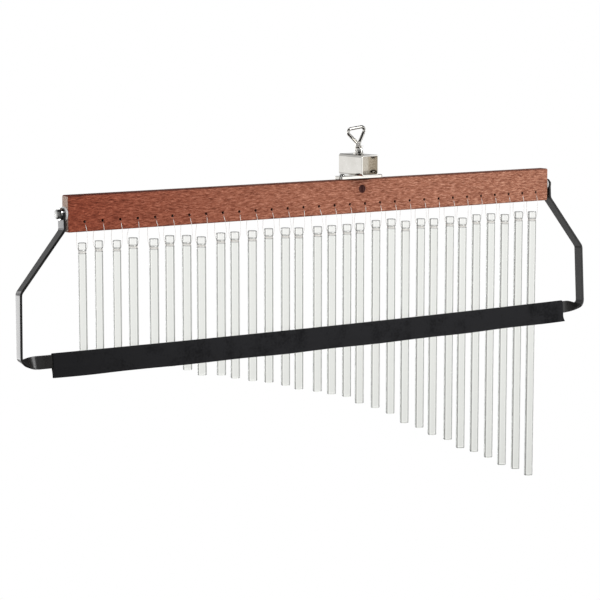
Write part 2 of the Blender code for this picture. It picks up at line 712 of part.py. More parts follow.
def make_clamp_base():
    """Plate, its two screws, the centre bolt and the barrel nut that it pulls up against the bar."""
    plate_middle = Matrix.Translation((0.0, 0.0, (plate_top + plate_bottom) / 2))
    plate_width = BAR_THICKNESS - 2 * PLATE_INSET
    plate_outline = rounded_rectangle(PLATE_LENGTH, plate_width, PLATE_CORNER)
    plate = flat_outline("clamp_plate", [plate_outline], PLATE_THICKNESS, NICKEL, plate_middle)
    screw_places = [(side * PLATE_SCREW_SPACING / 2, 0.0, plate_bottom) for side in (-1, 1)]
    screw_bore = PLATE_SCREW_DIAMETER + 2 * BORE_CLEARANCE
    boolean(plate, cylinder_cutter("plate_holes", screw_bore, 4 * PLATE_THICKNESS, screw_places, sides=12))
    bolt_bore = CENTRE_BOLT_DIAMETER + 2 * BORE_CLEARANCE
    through_plate = [(0.0, 0.0, plate_bottom)]
    boolean(plate, cylinder_cutter("plate_bolt_hole", bolt_bore, 4 * PLATE_THICKNESS, through_plate))
    head = PLATE_SCREW_HEAD_DIAMETER / 2
    shank = PLATE_SCREW_DIAMETER / 2
    head_base = plate_top + GAP
    dome = [
        (head * sin(step * pi / 6), PLATE_SCREW_HEAD_HEIGHT * cos(step * pi / 6)) for step in range(4)
    ]
    tip = GAP - PLATE_SCREW_LENGTH
    profile = dome + [(shank, 0.0), (shank, tip + 2 * shank), (0.0, tip)]
    for (x, y, _), label in zip(screw_places, ("left", "right")):
        turned(f"plate_screw_{label}", profile, ZINC, (x, y, head_base), sides=12)
    make_centre_bolt()
    barrel_length = BAR_THICKNESS - 2 * BARREL_NUT_RECESS
    work = bmesh.new()
    add_cylinder(work, BARREL_NUT_DIAMETER, barrel_length, (0.0, 0.0, barrel_level), "Y")
    barrel = place("barrel_nut", mesh_from(work, "barrel_nut"), ZINC)
    thread = cylinder_cutter("barrel_thread", bolt_bore, 2 * BARREL_NUT_DIAMETER, [(0.0, 0.0, barrel_level)])
    boolean(barrel, thread)


def make_centre_bolt():
    """Low round-headed bolt from the tube's floor into the barrel nut."""
    head = CENTRE_BOLT_HEAD_DIAMETER / 2
    shank = CENTRE_BOLT_DIAMETER / 2
    head_base = socket_floor + GAP
    dome = [
        (head * sin(step * pi / 6), CENTRE_BOLT_HEAD_HEIGHT * cos(step * pi / 6)) for step in range(4)
    ]
    end = barrel_level - BARREL_NUT_DIAMETER / 2 - head_base
    profile = dome + [(shank, 0.0), (shank, end), (0.0, end)]
    turned("centre_bolt", profile, ZINC, (0.0, 0.0, head_base))


def make_clamp_tube():
    """Square tube that a stand's arm goes through, drilled in its floor and ceiling."""
    inner_side = TUBE_SIDE - 2 * TUBE_WALL
    outer = rounded_rectangle(TUBE_SIDE, TUBE_SIDE, TUBE_CORNER)
    inner = rounded_rectangle(inner_side, inner_side, TUBE_CORNER - TUBE_WALL)
    tube = flat_outline("clamp_tube", [outer, inner], TUBE_LENGTH, NICKEL, along("Y"))
    bolt_bore = CENTRE_BOLT_DIAMETER + 2 * BORE_CLEARANCE
    screw_bore = CLAMP_SCREW_DIAMETER + 2 * BORE_CLEARANCE
    boolean(tube, cylinder_cutter("floor_hole", bolt_bore, 4 * TUBE_WALL, [(0.0, 0.0, -TUBE_SIDE / 2)]))
    boolean(tube, cylinder_cutter("ceiling_hole", screw_bore, 4 * TUBE_WALL, [(0.0, 0.0, TUBE_SIDE / 2)]))


def make_clamp_screw():
    """Flanged nut on the tube, the screw through it and the bent wire that turns the screw."""
    work = bmesh.new()
    add_cylinder(work, NUT_FLATS / cos(pi / 6), NUT_HEIGHT, (0.0, 0.0, nut_base + NUT_HEIGHT / 2), sides=6)
    nut = place("clamp_nut", mesh_from(work, "clamp_nut"), NICKEL)
    flange_work = bmesh.new()
    flange_middle = (0.0, 0.0, nut_base + NUT_FLANGE_HEIGHT / 2)
    add_cylinder(flange_work, NUT_FLANGE_DIAMETER, NUT_FLANGE_HEIGHT, flange_middle)
    flange = place("nut_flange", mesh_from(flange_work, "nut_flange"), None, CUTTERS)
    boolean(nut, hide_as_cutter(flange), "UNION")
    screw_bore = CLAMP_SCREW_DIAMETER + 2 * BORE_CLEARANCE
    boolean(nut, cylinder_cutter("nut_bore", screw_bore, 4 * NUT_HEIGHT, [(0.0, 0.0, nut_base)]))
    collar = COLLAR_DIAMETER / 2
    shank = CLAMP_SCREW_DIAMETER / 2
    tip = socket_ceiling - CLAMP_SCREW_REACH
    edge = COLLAR_HEIGHT / 6
    profile = [
        (0.0, collar_top),
        (collar - edge, collar_top),
        (collar, collar_top - edge),
        (collar, collar_base),
        (shank, collar_base),
        (shank, tip + edge),
        (shank - edge, tip),
        (0.0, tip),
    ]
    turned("clamp_screw", profile, NICKEL, (0.0, 0.0, 0.0))
    make_thumb_loop()


def make_thumb_loop():
    """Wire bent to a rounded triangle, a little skewed, with its two ends standing on the screw's collar."""
    foot = collar_top + GAP
    radius = LOOP_WIRE_DIAMETER / 2
    corners = [
        (-LOOP_LEFT_FOOT, 0.0, foot),
        (-LOOP_LEFT_FOOT, 0.0, foot + LOOP_WIRE_DIAMETER),
        (radius - LOOP_LEFT_REACH, 0.0, foot + LOOP_LEFT_HEIGHT - radius),
        (LOOP_RIGHT_REACH - radius, 0.0, foot + LOOP_RIGHT_HEIGHT - radius),
        (LOOP_RIGHT_FOOT, 0.0, foot + LOOP_WIRE_DIAMETER),
        (LOOP_RIGHT_FOOT, 0.0, foot),
    ]
    path = rounded_path(corners, (radius, LOOP_WIRE_DIAMETER, LOOP_WIRE_DIAMETER, radius))
    wire("thumb_loop", path, LOOP_WIRE_DIAMETER, NICKEL, Matrix.Identity(4), resolution=2)


make_bar()
make_rods()
make_damper()
make_pivots()
make_clamp_base()
make_clamp_tube()
make_clamp_screw()
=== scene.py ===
"""Looks of the glass bar chime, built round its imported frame. Metres, +Z up, same frame as the solids."""

import json
from math import atan2, cos, hypot, pi, radians, sin

import bmesh
import bpy
import numpy as np
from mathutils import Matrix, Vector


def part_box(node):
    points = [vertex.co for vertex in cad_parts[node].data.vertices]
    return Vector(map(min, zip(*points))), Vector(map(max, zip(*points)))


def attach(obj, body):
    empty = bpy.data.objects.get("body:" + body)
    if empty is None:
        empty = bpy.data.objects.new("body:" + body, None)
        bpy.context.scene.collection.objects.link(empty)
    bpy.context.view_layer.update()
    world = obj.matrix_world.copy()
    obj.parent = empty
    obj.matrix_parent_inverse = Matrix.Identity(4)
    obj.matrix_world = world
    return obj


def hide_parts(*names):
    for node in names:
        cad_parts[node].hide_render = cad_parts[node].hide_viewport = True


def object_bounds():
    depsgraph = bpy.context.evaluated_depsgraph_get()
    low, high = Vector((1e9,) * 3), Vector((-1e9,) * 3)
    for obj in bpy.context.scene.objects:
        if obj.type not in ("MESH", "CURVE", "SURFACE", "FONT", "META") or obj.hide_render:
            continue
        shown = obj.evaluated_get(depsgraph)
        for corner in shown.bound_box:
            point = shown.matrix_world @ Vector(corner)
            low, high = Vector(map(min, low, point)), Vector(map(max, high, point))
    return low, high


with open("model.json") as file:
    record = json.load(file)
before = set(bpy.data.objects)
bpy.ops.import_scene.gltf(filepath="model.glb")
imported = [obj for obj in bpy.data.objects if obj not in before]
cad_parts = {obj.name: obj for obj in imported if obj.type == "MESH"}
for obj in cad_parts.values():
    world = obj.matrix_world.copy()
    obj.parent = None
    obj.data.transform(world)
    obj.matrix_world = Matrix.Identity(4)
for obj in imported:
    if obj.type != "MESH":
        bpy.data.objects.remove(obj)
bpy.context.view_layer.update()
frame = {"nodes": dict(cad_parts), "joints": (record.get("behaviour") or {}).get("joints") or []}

MM = 0.001
SHARP = radians(35)  # edges bent more than this are shown sharp

# Camera: a long lens a little above the bar, on the side of the short rods
CAMERA_PLACE = (-1.3646, -1.8187, 0.1638)
CAMERA_YAW = 35.32
CAMERA_PITCH = 7.73
CAMERA_LENS = 129.0
SENSOR_WIDTH = 36.0
FARTHEST_SEEN = 100.0

# Fits
BORE_GAP = 0.3 * MM  # radial, round a shank in its hole
SEAT_GAP = 0.15 * MM  # under a head

# Bar
BAR_EDGE = 1.8 * MM
THREAD_HOLE = 1.2 * MM  # radius
HOLE_FLARE = 0.35 * MM
BARREL_BORE_GAP = 0.4 * MM
INSERT_BORE_END = 1.0 * MM  # bore past each end of the insert

# Rods and threads
ROD_END = 0.9 * MM
ROD_FOOT = 1.4 * MM
HEAD = 7.6 * MM
NECK = 2.8 * MM
NECK_DEPTH = 0.5 * MM
# width of the painted shade along each edge of the groove
GROOVE_EDGE_BAND = 0.5 * MM
PAINTED_TONE_STRETCH = HEAD + NECK + 1.0 * MM  # stretch below the top that holds the head's painted light and the groove's painted shade
THREAD = 0.23 * MM  # radius
THREAD_BOW = 1.0 * MM
THREAD_FADE = 20 * MM  # stretch below the hole over which a thread's cover changes
THREAD_WRAPS = 2.0
WRAP_FROM = 0.25  # of the neck, where the turns begin
WRAP_TO = 0.78
STRAND_TURN = radians(-32)  # where the front strand passes the head, from the rod's right side
NECK_TURN = radians(-12)  # where it reaches the neck

# Damper, measured down from its pivot
STRIP_WIDTH = 11.5 * MM
BAR_STRIP_WIDTH = 13.2 * MM  # past the twist
STRIP_THICKNESS = 2.5 * MM
STRIP_EDGE = 0.35 * MM
TAB_DROP = 15.5 * MM
ARM_BEND_DROP = 73.3 * MM
DAMPER_DROP = 141.3 * MM
CORNER_DROP = 140.7 * MM
LEFT_ARM = (55.2 * MM, 2.5 * MM, radians(9), 20.0 * MM)  # reach, flare of the foot, turn and length of twist
RIGHT_ARM = (51.0 * MM, 0.0, 0.0, 25.0 * MM)
STRIP_BEND = 7.0 * MM
CORNER_BEND = 6.0 * MM
STRIP_BOW = 1.6 * MM  # sag of the long straight stretch at its middle
FELT_OVERHANG = 21.2 * MM
FELT_THICKNESS = 0.9 * MM
FELT_GAP = 0.3 * MM
FELT_SLANT = 4.3 * MM  # how far the right end reaches out at the hem
FELT_HEM = 9.8 * MM
FELT_SWING = 0.45 * MM  # waviness to and fro
HEM_WAVE = 0.25 * MM  # waviness up and down

# Fasteners
WASHER_EDGE = 0.15 * MM
BOLT_SHANK = 2.5 * MM
BOLT_HOLE = 2.8 * MM
SCREW_HOLE = 1.8 * MM
# Round heads: radius of shank, length of taper, radius of tip, reach, width and depth of recess, sides
PLATE_SCREW = (1.5 * MM, 3.0 * MM, 0.3 * MM, (3.4 * MM, 0.8 * MM, 1.0 * MM), 32)
FLOOR_BOLT = (BOLT_SHANK, 0.4 * MM, BOLT_SHANK - 0.4 * MM, (4.4 * MM, 1.0 * MM, 1.4 * MM), 40)
CLAMP_SHANK = 2.5 * MM
CLAMP_PITCH = 0.8 * MM
CLAMP_THREAD = 0.38 * MM  # depth
HEAD_LEVELS = (0.0, 0.08, 0.2, 0.55, 0.66, 0.75, 0.82, 0.87, 0.92, 0.96, 0.99, 1.0)  # of a head's height
HEAD_CONE = (0.54, 0.575, 0.6, 0.6, 0.565, 0.535, 0.505, 0.47, 0.38, 0.28, 0.15, 0.05)  # of its flats, there

# Clamp
PLATE_EDGE = 0.4 * MM
PLATE_CORNER = 3.0 * MM
TUBE_WALL = 1.6 * MM
TUBE_CORNER = 2.6 * MM
TUBE_EDGE = 0.35 * MM
NUT_RISE = 3.0 * MM  # how far the nut reaches up over the collar's solid
NUT_FLATS = 7.6 * MM
NUT_FLANGE = 1.0 * MM
COLLAR_EDGE = 0.5 * MM
WIRE = 1.8 * MM  # radius

# Studio: heading to the right of the camera's own in degrees, or height of the direction, and brightness
EVEN_LIGHT = 0.62
FLOOR_DROP = 0.55
FLOOR_RADIUS = 1.3
LIT_PLACE = (-0.05, 0.0, -0.15)
MIRRORED_WALLS = (
    (-180, 0.5), (-120, 0.55), (-84, 1.1), (-76, 1.0), (-67, 0.9), (-65, 5.0), (-58, 5.0), (-55, 0.1),
    (-53, 0.1), (-50, 4.0), (-38, 4.0), (-35, 0.05), (-24, 0.05), (-18, 1.0), (18, 1.0), (24, 0.05),
    (44, 0.05), (52, 4.0), (58, 4.0), (66, 0.05), (75, 0.05), (90, 1.25), (111, 1.4), (114, 0.1),
    (150, 0.3), (180, 0.5),
)
MIRRORED_CEILING = (
    (-180, 0.04), (-85, 0.04), (-72, 0.6), (-40, 0.6), (-25, 0.10), (30, 0.10), (60, 0.04), (180, 0.04),
)
MIRRORED_GROUND = ((-180, 0.03), (-85, 0.03), (-60, 0.7), (20, 0.6), (60, 0.3), (90, 0.03), (180, 0.03))
MIRRORED_LEVELS = ((-0.02, 1.0), (0.03, 0.5), (0.24, 0.5), (0.3, 1.0))
CEILING_LEVELS = ((0.24, 0.0), (0.32, 1.0))
GROUND_LEVELS = ((-0.34, 1.0), (-0.22, 0.0))
GLASS_WALLS = (
    (-180, 0.6), (-90, 0.6), (-56, 0.48), (-38, 0.43), (-33, 1.1), (-30, 1.1), (-25, 1.0), (13, 1.0),
    (19, 1.1), (27, 1.1), (32, 0.32), (70, 0.4), (180, 0.6),
)
GLASS_LEVELS = ((-0.35, 0.64), (-0.227, 0.75), (-0.19, 0.84), (-0.14, 0.91), (0.0, 1.0))


def node_box(node):
    """Lowest and highest corner, middle and half size of a solid at rest, as arrays."""
    low, high = (np.array(corner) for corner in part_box(node))
    return low, high, (low + high) / 2, (high - low) / 2


# Places read from the frame
bar_low, bar_high, bar_middle, bar_halves = node_box("wooden_bar")
joints = {joint["name"]: joint for joint in frame["joints"]}
pivot = np.array(joints["damper_swing"]["pos_m"], float)
bar_half = bar_halves[0]
bar_face = bar_high[1]
tab_offset = (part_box("spacer_washer_right")[1].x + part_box("pivot_washer_right")[0].x) / 2 - bar_high[0]
cloth_low, cloth_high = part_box("damper_cloth")
cloth_middle = (cloth_low + cloth_high) / 2
damper_lean = atan2(pivot[1] - cloth_middle.y, pivot[2] - cloth_middle.z)


# Meshes

def put_in_scene(name, data):
    """A new object in the scene's own collection."""
    item = bpy.data.objects.new(name, data)
    bpy.context.scene.collection.objects.link(item)
    return item


def piece_from(name, vertices, faces, material):
    """A piece at the origin with outward faces, smooth sides and sharp edges."""
    mesh = bpy.data.meshes.new(name)
    mesh.from_pydata(vertices.tolist(), [], faces)
    piece = put_in_scene(name, mesh)
    work = bmesh.new()
    work.from_mesh(mesh)
    bmesh.ops.recalc_face_normals(work, faces=work.faces)
    work.to_mesh(mesh)
    work.free()
    mesh.shade_smooth()
    mesh.set_sharp_from_angle(angle=SHARP)
    if material:
        mesh.materials.append(material)
    return piece


def grid_faces(rows, columns, rows_close, columns_close):
    """Quads of a grid of points, and the points' own numbering."""
    index = np.arange(rows * columns).reshape(rows, columns)
    grid = np.vstack([index, index[:1]]) if rows_close else index
    grid = np.hstack([grid, grid[:, :1]]) if columns_close else grid
    corners = (grid[:-1, :-1], grid[:-1, 1:], grid[1:, 1:], grid[1:, :-1])
    return np.stack(corners, axis=-1).reshape(-1, 4).tolist(), index


def surface(name, points, material, rows_close=False):
    """A closed solid from a grid of points whose columns go round.

    Rows that don't close on themselves end in fans about the middle of the first and last row.
    """
    rows, columns = points.shape[:2]
    faces, index = grid_faces(rows, columns, rows_close, True)
    vertices = points.reshape(-1, 3)
    if not rows_close:
        poles = points[[0, -1]].mean(axis=1)
        for number, ring in enumerate((index[0], index[-1])):
            pole = np.full(columns, rows * columns + number)
            faces += np.stack([ring, np.roll(ring, -1), pole], axis=-1).tolist()
        vertices = np.vstack([vertices, poles])
    return piece_from(name, vertices, faces, material)


def vectors_of(items, name):
    """A value of every vertex or face of a mesh, as rows of three numbers."""
    values = np.empty(len(items) * 3)
    items.foreach_get(name, values)
    return values.reshape(-1, 3)


def unit(vectors):
    """Vectors brought to length one."""
    return vectors / np.linalg.norm(vectors, axis=-1, keepdims=True)


def full_turn(steps):
    """Angles of a full turn in even steps."""
    return np.linspace(0.0, 2 * pi, steps, endpoint=False)


def about_z(radius, angle, height):
    """Points (r cos a, r sin a, h) for arrays of radius, angle and height that fit together."""
    return np.stack(np.broadcast_arrays(radius * np.cos(angle), radius * np.sin(angle), height), axis=-1)


def turned(profile, sides):
    """Pairs of radius and height turned about +Z."""
    profile = np.asarray(profile, float)
    return about_z(profile[:, :1], full_turn(sides), profile[:, 1:])


def both_ways(profile):
    """A list of radius and height pairs, followed by its mirror image below."""
    return profile + [(radius, -height) for radius, height in profile[::-1]]


def stood_on(points, place, axis="Z"):
    """Points made about +Z, laid along another axis and moved to a place."""
    x, y, z = points[..., 0], points[..., 1], points[..., 2]
    laid = {"X": (z, x, y), "-X": (-z, -x, y), "Y": (x, z, -y), "Z": (x, y, z)}[axis]
    return np.stack(laid, axis=-1) + np.asarray(place, float)


def stacked(outlines, levels, axis):
    """Flat outlines, each at its own level along an axis, as a grid of points."""
    order = {"X": (2, 0, 1), "Y": (0, 2, 1), "Z": (0, 1, 2)}[axis]
    rows = []
    for outline, level in zip(outlines, levels):
        rows.append(np.column_stack([outline, np.full(len(outline), level)])[:, order])
    return np.array(rows)


def rounded_corner(corner_from, corner, corner_to, radius, steps):
    """Points of the arc that rounds a corner of a path, both ends included."""
    back = unit(np.subtract(corner_from, corner))
    ahead = unit(np.subtract(corner_to, corner))
    half = np.arccos(np.clip(back @ ahead, -1.0, 1.0)) / 2
    middle = unit(back + ahead)
    across = unit(ahead - back)
    centre = np.asarray(corner, float) + middle * radius / np.sin(half)
    turn = (np.linspace(0.0, 1.0, steps + 1) - 0.5) * (pi - 2 * half)
    return centre + radius * (np.outer(np.sin(turn), across) - np.outer(np.cos(turn), middle))


def rounded_path(corners, radii, steps):
    """A polyline whose inner corners are replaced by arcs of their own radius."""
    points = [np.asarray(corners[0], float)[None]]
    for before, corner, after, radius in zip(corners, corners[1:], corners[2:], radii):
        points.append(rounded_corner(before, corner, after, radius, steps))
    points.append(np.asarray(corners[-1], float)[None])
    return np.vstack(points)


def rounded_rectangle(width, height, corner, steps=5):
    """Outline of a rectangle with round corners, as an array of x and y."""
    angle = np.linspace(0.0, pi / 2, steps + 1)
    quarters = []
    for quarter, (x, y) in enumerate(((1, 1), (-1, 1), (-1, -1), (1, -1))):
        turn = angle + quarter * pi / 2
        middle = np.array([x * (width / 2 - corner), y * (height / 2 - corner)])
        quarters.append(middle + corner * np.stack([np.cos(turn), np.sin(turn)], axis=-1))
    return np.vstack(quarters)


def smooth_through(points, count):
    """A Catmull-Rom curve through points, with even steps of its own parameter."""
    points = np.asarray(points, float)
    padded = np.vstack([2 * points[0] - points[1], points, 2 * points[-1] - points[-2]])
    where = np.linspace(0.0, len(points) - 1.0, count)
    span = np.minimum(where.astype(int), len(points) - 2)
    t = (where - span)[:, None]
    before, start, end, after = (padded[span + step] for step in range(4))
    pull = 2 * before - 5 * start + 4 * end - after
    bend = 3 * (start - end) + after - before
    return start + 0.5 * t * (end - before + t * (pull + t * bend))


def wire_points(path, radius, sides):
    """A round section carried along a path, turned at each point no more than the path turns."""
    tangent = unit(np.gradient(path, axis=0))
    side = np.cross(tangent[0], np.eye(3)[np.argmin(np.abs(tangent[0]))])
    sides_along = []
    for direction in tangent:
        side = unit(side - direction * (side @ direction))
        sides_along.append(side)
    first = np.array(sides_along)
    second = np.cross(tangent, first)
    angle = full_turn(sides)[:, None]
    ring = np.cos(angle) * first[:, None] + np.sin(angle) * second[:, None]
    return path[:, None] + radius * ring


def drill(piece, cutters):
    """Cuts closed grids of points out of a piece's mesh."""
    for points in cutters:
        tool = surface("drill", points, None)
        cut = piece.modifiers.new("drill", "BOOLEAN")
        cut.object = tool
        bpy.context.view_layer.update()
        evaluated = piece.evaluated_get(bpy.context.evaluated_depsgraph_get())
        mesh = bpy.data.meshes.new_from_object(evaluated)
        piece.modifiers.clear()
        bpy.data.objects.remove(tool, do_unlink=True)
        uncut = piece.data
        piece.data = mesh
        bpy.data.meshes.remove(uncut)
    piece.data.shade_smooth()
    piece.data.set_sharp_from_angle(angle=SHARP)


def stands_for(piece, node, body):
    """The piece takes the place of a node and moves with a body.

    Weighted normals keep flat faces flat beside rounded edges.
    """
    weigh = piece.modifiers.new("flat_faces", "WEIGHTED_NORMAL")
    weigh.keep_sharp = True
    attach(piece, body)
    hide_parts(node)
    return piece


# Materials

def shader_nodes(name):
    """A new material's node tree and its Principled shader."""
    material = bpy.data.materials.new(name)
    material.use_nodes = True
    return material, material.node_tree, material.node_tree.nodes["Principled BSDF"]


def fill(node, inputs):
    """Sets or links the inputs of a node."""
    for key, value in inputs.items():
        if isinstance(value, bpy.types.NodeSocket):
            node.id_data.links.new(value, node.inputs[key])
        else:
            node.inputs[key].default_value = value


def add_node(tree, kind, inputs=None, **settings):
    """A node with its settings and the values or links of its inputs."""
    node = tree.nodes.new(kind)
    for key, value in settings.items():
        setattr(node, key, value)
    fill(node, inputs or {})
    return node


def place_on(tree):
    """The point of the piece that is shaded."""
    return add_node(tree, "ShaderNodeTexCoord").outputs["Object"]


def axes_of(vector):
    """The X, Y and Z outputs of a vector."""
    return add_node(vector.id_data, "ShaderNodeSeparateXYZ", {0: vector}).outputs


def number_math(operation, *values):
    """The result of a sum on numbers, the first of which comes from a node."""
    node = add_node(values[0].id_data, "ShaderNodeMath", dict(enumerate(values)), operation=operation)
    return node.outputs[0]


def vector_math(operation, *values):
    """The result of a sum on vectors: a vector, or the number of a dot product or a length."""
    node = add_node(values[0].id_data, "ShaderNodeVectorMath", dict(enumerate(values)), operation=operation)
    return node.outputs["Value" if operation in ("DOT_PRODUCT", "LENGTH") else "Vector"]


def share_between(value, low, high, shape="LINEAR"):
    """How far a value has come from one bound to another, from 0 to 1."""
    bounds = {0: value, 1: float(low), 2: float(high), 3: 0.0, 4: 1.0}
    return add_node(value.id_data, "ShaderNodeMapRange", bounds, interpolation_type=shape).outputs[0]


def noise(place, scale, detail, roughness=0.5):
    """The value of a cloudy noise."""
    inputs = {"Vector": place, "Scale": scale, "Detail": detail, "Roughness": roughness}
    return add_node(place.id_data, "ShaderNodeTexNoise", inputs).outputs["Fac"]


def ramp(factor, stops):
    """A colour ramp: stops are place and grey or colour."""
    node = add_node(factor.id_data, "ShaderNodeValToRGB", {"Fac": factor})
    elements = node.color_ramp.elements
    while len(elements) < len(stops):
        elements.new(0.5)
    for element, (place, colour) in zip(elements, stops):
        element.position = place
        element.color = (*(colour if isinstance(colour, tuple) else (colour,) * 3), 1.0)
    return node.outputs["Color"]


def blend(tree, share, low, high, way="MIX"):
    """A colour between two others, by a share."""
    inputs = {"Factor": share, 6: low, 7: high}
    return add_node(tree, "ShaderNodeMix", inputs, data_type="RGBA", blend_type=way).outputs["Result"]


def multiply(tree, one, two):
    """The product of two colours."""
    return blend(tree, 1.0, one, two, "MULTIPLY")


def raised(shader, height, distance, strength=1.0):
    """Puts a relief on a shader."""
    inputs = {"Height": height, "Strength": strength, "Distance": distance}
    fill(shader, {"Normal": add_node(shader.id_data, "ShaderNodeBump", inputs).outputs["Normal"]})


def handled_surface_group():
    """Fine roughness: cloudy smudges and a close grain."""
    tree = bpy.data.node_groups.new("handled_surface", "ShaderNodeTree")
    for label in ("Roughness", "Smudge", "Smudge Scale", "Grain Scale"):
        tree.interface.new_socket(label, in_out="INPUT", socket_type="NodeSocketFloat")
    for label in ("Roughness", "Height", "Mask"):
        tree.interface.new_socket(label, in_out="OUTPUT", socket_type="NodeSocketFloat")
    given = tree.nodes.new("NodeGroupInput").outputs
    place = place_on(tree)
    cloud = noise(place, given["Smudge Scale"], 5.0, 0.6)
    grain = noise(place, given["Grain Scale"], 2.0)
    spread = number_math("SUBTRACT", cloud, 0.5)
    inputs = {0: spread, 1: given["Smudge"], 2: given["Roughness"]}
    amount = add_node(tree, "ShaderNodeMath", inputs, operation="MULTIPLY_ADD", use_clamp=True)
    add_node(tree, "NodeGroupOutput", {"Roughness": amount.outputs[0], "Height": grain, "Mask": cloud})
    return tree


HANDLED = handled_surface_group()
SMUDGE_SCALE = 60.0


def handled(shader, dark, light, roughness, smudge, grain_scale, bump):
    """Puts the shared fine roughness on a shader, and two shades by its cloudy mask."""
    amounts = {"Roughness": roughness, "Smudge": smudge}
    scales = {"Smudge Scale": SMUDGE_SCALE, "Grain Scale": grain_scale}
    skin = add_node(shader.id_data, "ShaderNodeGroup", amounts | scales, node_tree=HANDLED).outputs
    colour = ramp(skin["Mask"], ((0.3, dark), (0.7, light)))
    fill(shader, {"Roughness": skin["Roughness"], "Base Color": colour})
    if bump:
        raised(shader, skin["Height"], bump)


def plain_finish(name, dark, light, roughness, smudge, grain_scale, bump, metallic, specular=0.5):
    """A plated, painted or moulded finish with cloudy shade and roughness."""
    material, _, shader = shader_nodes(name)
    handled(shader, dark, light, roughness, smudge, grain_scale, bump)
    fill(shader, {"Metallic": metallic, "Specular IOR Level": specular})
    return material


def depth_share(place):
    """How near the bar's skin a point lies: the largest share of its way out, 1 on the skin."""
    away = vector_math("ABSOLUTE", vector_math("SUBTRACT", place, bar_middle.tolist()))
    parts = axes_of(vector_math("DIVIDE", away, bar_halves.tolist()))
    return number_math("MAXIMUM", number_math("MAXIMUM", parts["X"], parts["Y"]), parts["Z"])


def make_wood():
    """Oiled reddish hardwood: wavy grain along X, short dark pores, pale ends, painted shade on top and in
    the bores.
    """
    material, tree, shader = shader_nodes("oiled_hardwood")
    coordinates = add_node(tree, "ShaderNodeTexCoord").outputs
    place = coordinates["Object"]
    wave = add_node(tree, "ShaderNodeTexNoise", {"Vector": place, "Scale": 135.0, "Detail": 2.0})
    shift = vector_math("MULTIPLY", wave.outputs["Color"], (0.0, 0.0015, 0.0036))
    moved = vector_math("ADD", place, shift)

    def stretched(scale, detail, roughness, source):
        along = add_node(tree, "ShaderNodeMapping", {"Vector": source, "Scale": scale})
        return noise(along.outputs[0], 1.0, detail, roughness)

    streak = stretched((125.0, 880.0, 880.0), 6.0, 0.76, moved)
    reds = ((0.36, (0.195, 0.060, 0.033)), (0.50, (0.403, 0.162, 0.100)), (0.64, (0.690, 0.362, 0.252)))
    tone = ramp(streak, reds)
    ribbon = stretched((22.0, 120.0, 120.0), 2.0, 0.5, moved)
    warm = blend(tree, ribbon, (0.92, 0.89, 0.87, 1.0), (1.12, 1.13, 1.13, 1.0))
    # Darker towards the left end, paler towards the right.
    along_bar = share_between(axes_of(place)["X"], bar_low[0], bar_high[0])
    left_to_right_tones = ((0.03, (0.60, 0.34, 0.28)), (0.45, (0.88, 0.79, 0.76)), (0.90, (1.0, 1.0, 1.0)))
    pale_right = ramp(along_bar, left_to_right_tones)
    toned = multiply(tree, multiply(tree, tone, warm), pale_right)
    pore = stretched((120.0, 1000.0, 1000.0), 2.0, 0.5, moved)
    pored = multiply(tree, toned, ramp(pore, ((0.34, (0.66, 0.60, 0.58)), (0.48, (1.0, 1.0, 1.0)))))
    facing = axes_of(coordinates["Normal"])
    # Painted shade: faces turned up are darkened, as if the top caught less light.
    painted_top_shade = ramp(facing["Z"], ((0.15, (1.0, 1.0, 1.0)), (0.75, (0.42, 0.36, 0.36))))
    aged = multiply(tree, pored, painted_top_shade)
    end_mask = ramp(number_math("ABSOLUTE", facing["X"]), ((0.86, 0.0), (0.96, 1.0)))
    end_spots = stretched((40.0, 900.0, 900.0), 2.0, 0.6, place)
    end_tone = ramp(end_spots, ((0.35, (0.34, 0.22, 0.17)), (0.65, (0.62, 0.49, 0.42))))
    ended = blend(tree, end_mask, aged, end_tone)
    # Painted shade: the wood inside the holes and bores is darkened, where little light reaches.
    painted_bore_shade = ramp(depth_share(place), ((0.90, (0.24, 0.09, 0.06)), (0.985, 1.0)))
    colour = multiply(tree, ended, painted_bore_shade)
    sheen = add_node(tree, "ShaderNodeMapRange", {0: streak, 1: 0.3, 2: 0.7, 3: 0.56, 4: 0.44})
    fill(shader, {"Base Color": colour, "Roughness": sheen.outputs[0], "Specular IOR Level": 0.12})
    raised(shader, number_math("ADD", streak, pore), 0.12 * MM)
    return material


def make_glass():
    """Clear glass with a faint grey-green tint, darkened towards the rod's sides by painted shade.

    Painted light makes the polished head clearer than the body; painted shade darkens the ground groove's
    edges.
    The attribute below_top gives the distance from the rod's top, as a share of the stretch with head and
    groove.
    """
    material, tree, shader = shader_nodes("clear_glass")
    # The faint tint in the middle of the rod; towards its sides, painted shade.
    edge = add_node(tree, "ShaderNodeLayerWeight", {"Blend": 0.35})
    tint_and_edge_shade = ((0.15, (0.998, 1.0, 0.973)), (0.55, (0.946, 0.957, 0.914)), (0.95, (0.774, 0.785, 0.763)))
    body = ramp(edge.outputs["Facing"], tint_and_edge_shade)
    down = add_node(tree, "ShaderNodeAttribute", attribute_name="below_top")
    edge_band = GROOVE_EDGE_BAND / PAINTED_TONE_STRETCH
    groove = HEAD / PAINTED_TONE_STRETCH
    foot = (HEAD + NECK) / PAINTED_TONE_STRETCH
    body_tone = (0.932, 0.940, 0.930)
    # Painted light: the head is left clearer than the body. Painted shade: a darker band at each edge of the
    # groove.
    stops = (
        (groove - 2 * edge_band, 1.0), (groove - 0.7 * edge_band, 0.45), (groove + 0.5 * edge_band, 0.45),
        (groove + 1.5 * edge_band, body_tone), (foot - 1.2 * edge_band, body_tone), (foot - 0.5 * edge_band, 0.5),
        (foot + 0.5 * edge_band, 0.5), (foot + 1.2 * edge_band, body_tone),
    )
    tone = ramp(down.outputs["Fac"], stops)
    colour = multiply(tree, body, tone)
    fill(shader, {"Base Color": colour, "Roughness": 0.03, "IOR": 1.47, "Transmission Weight": 1.0})
    return material


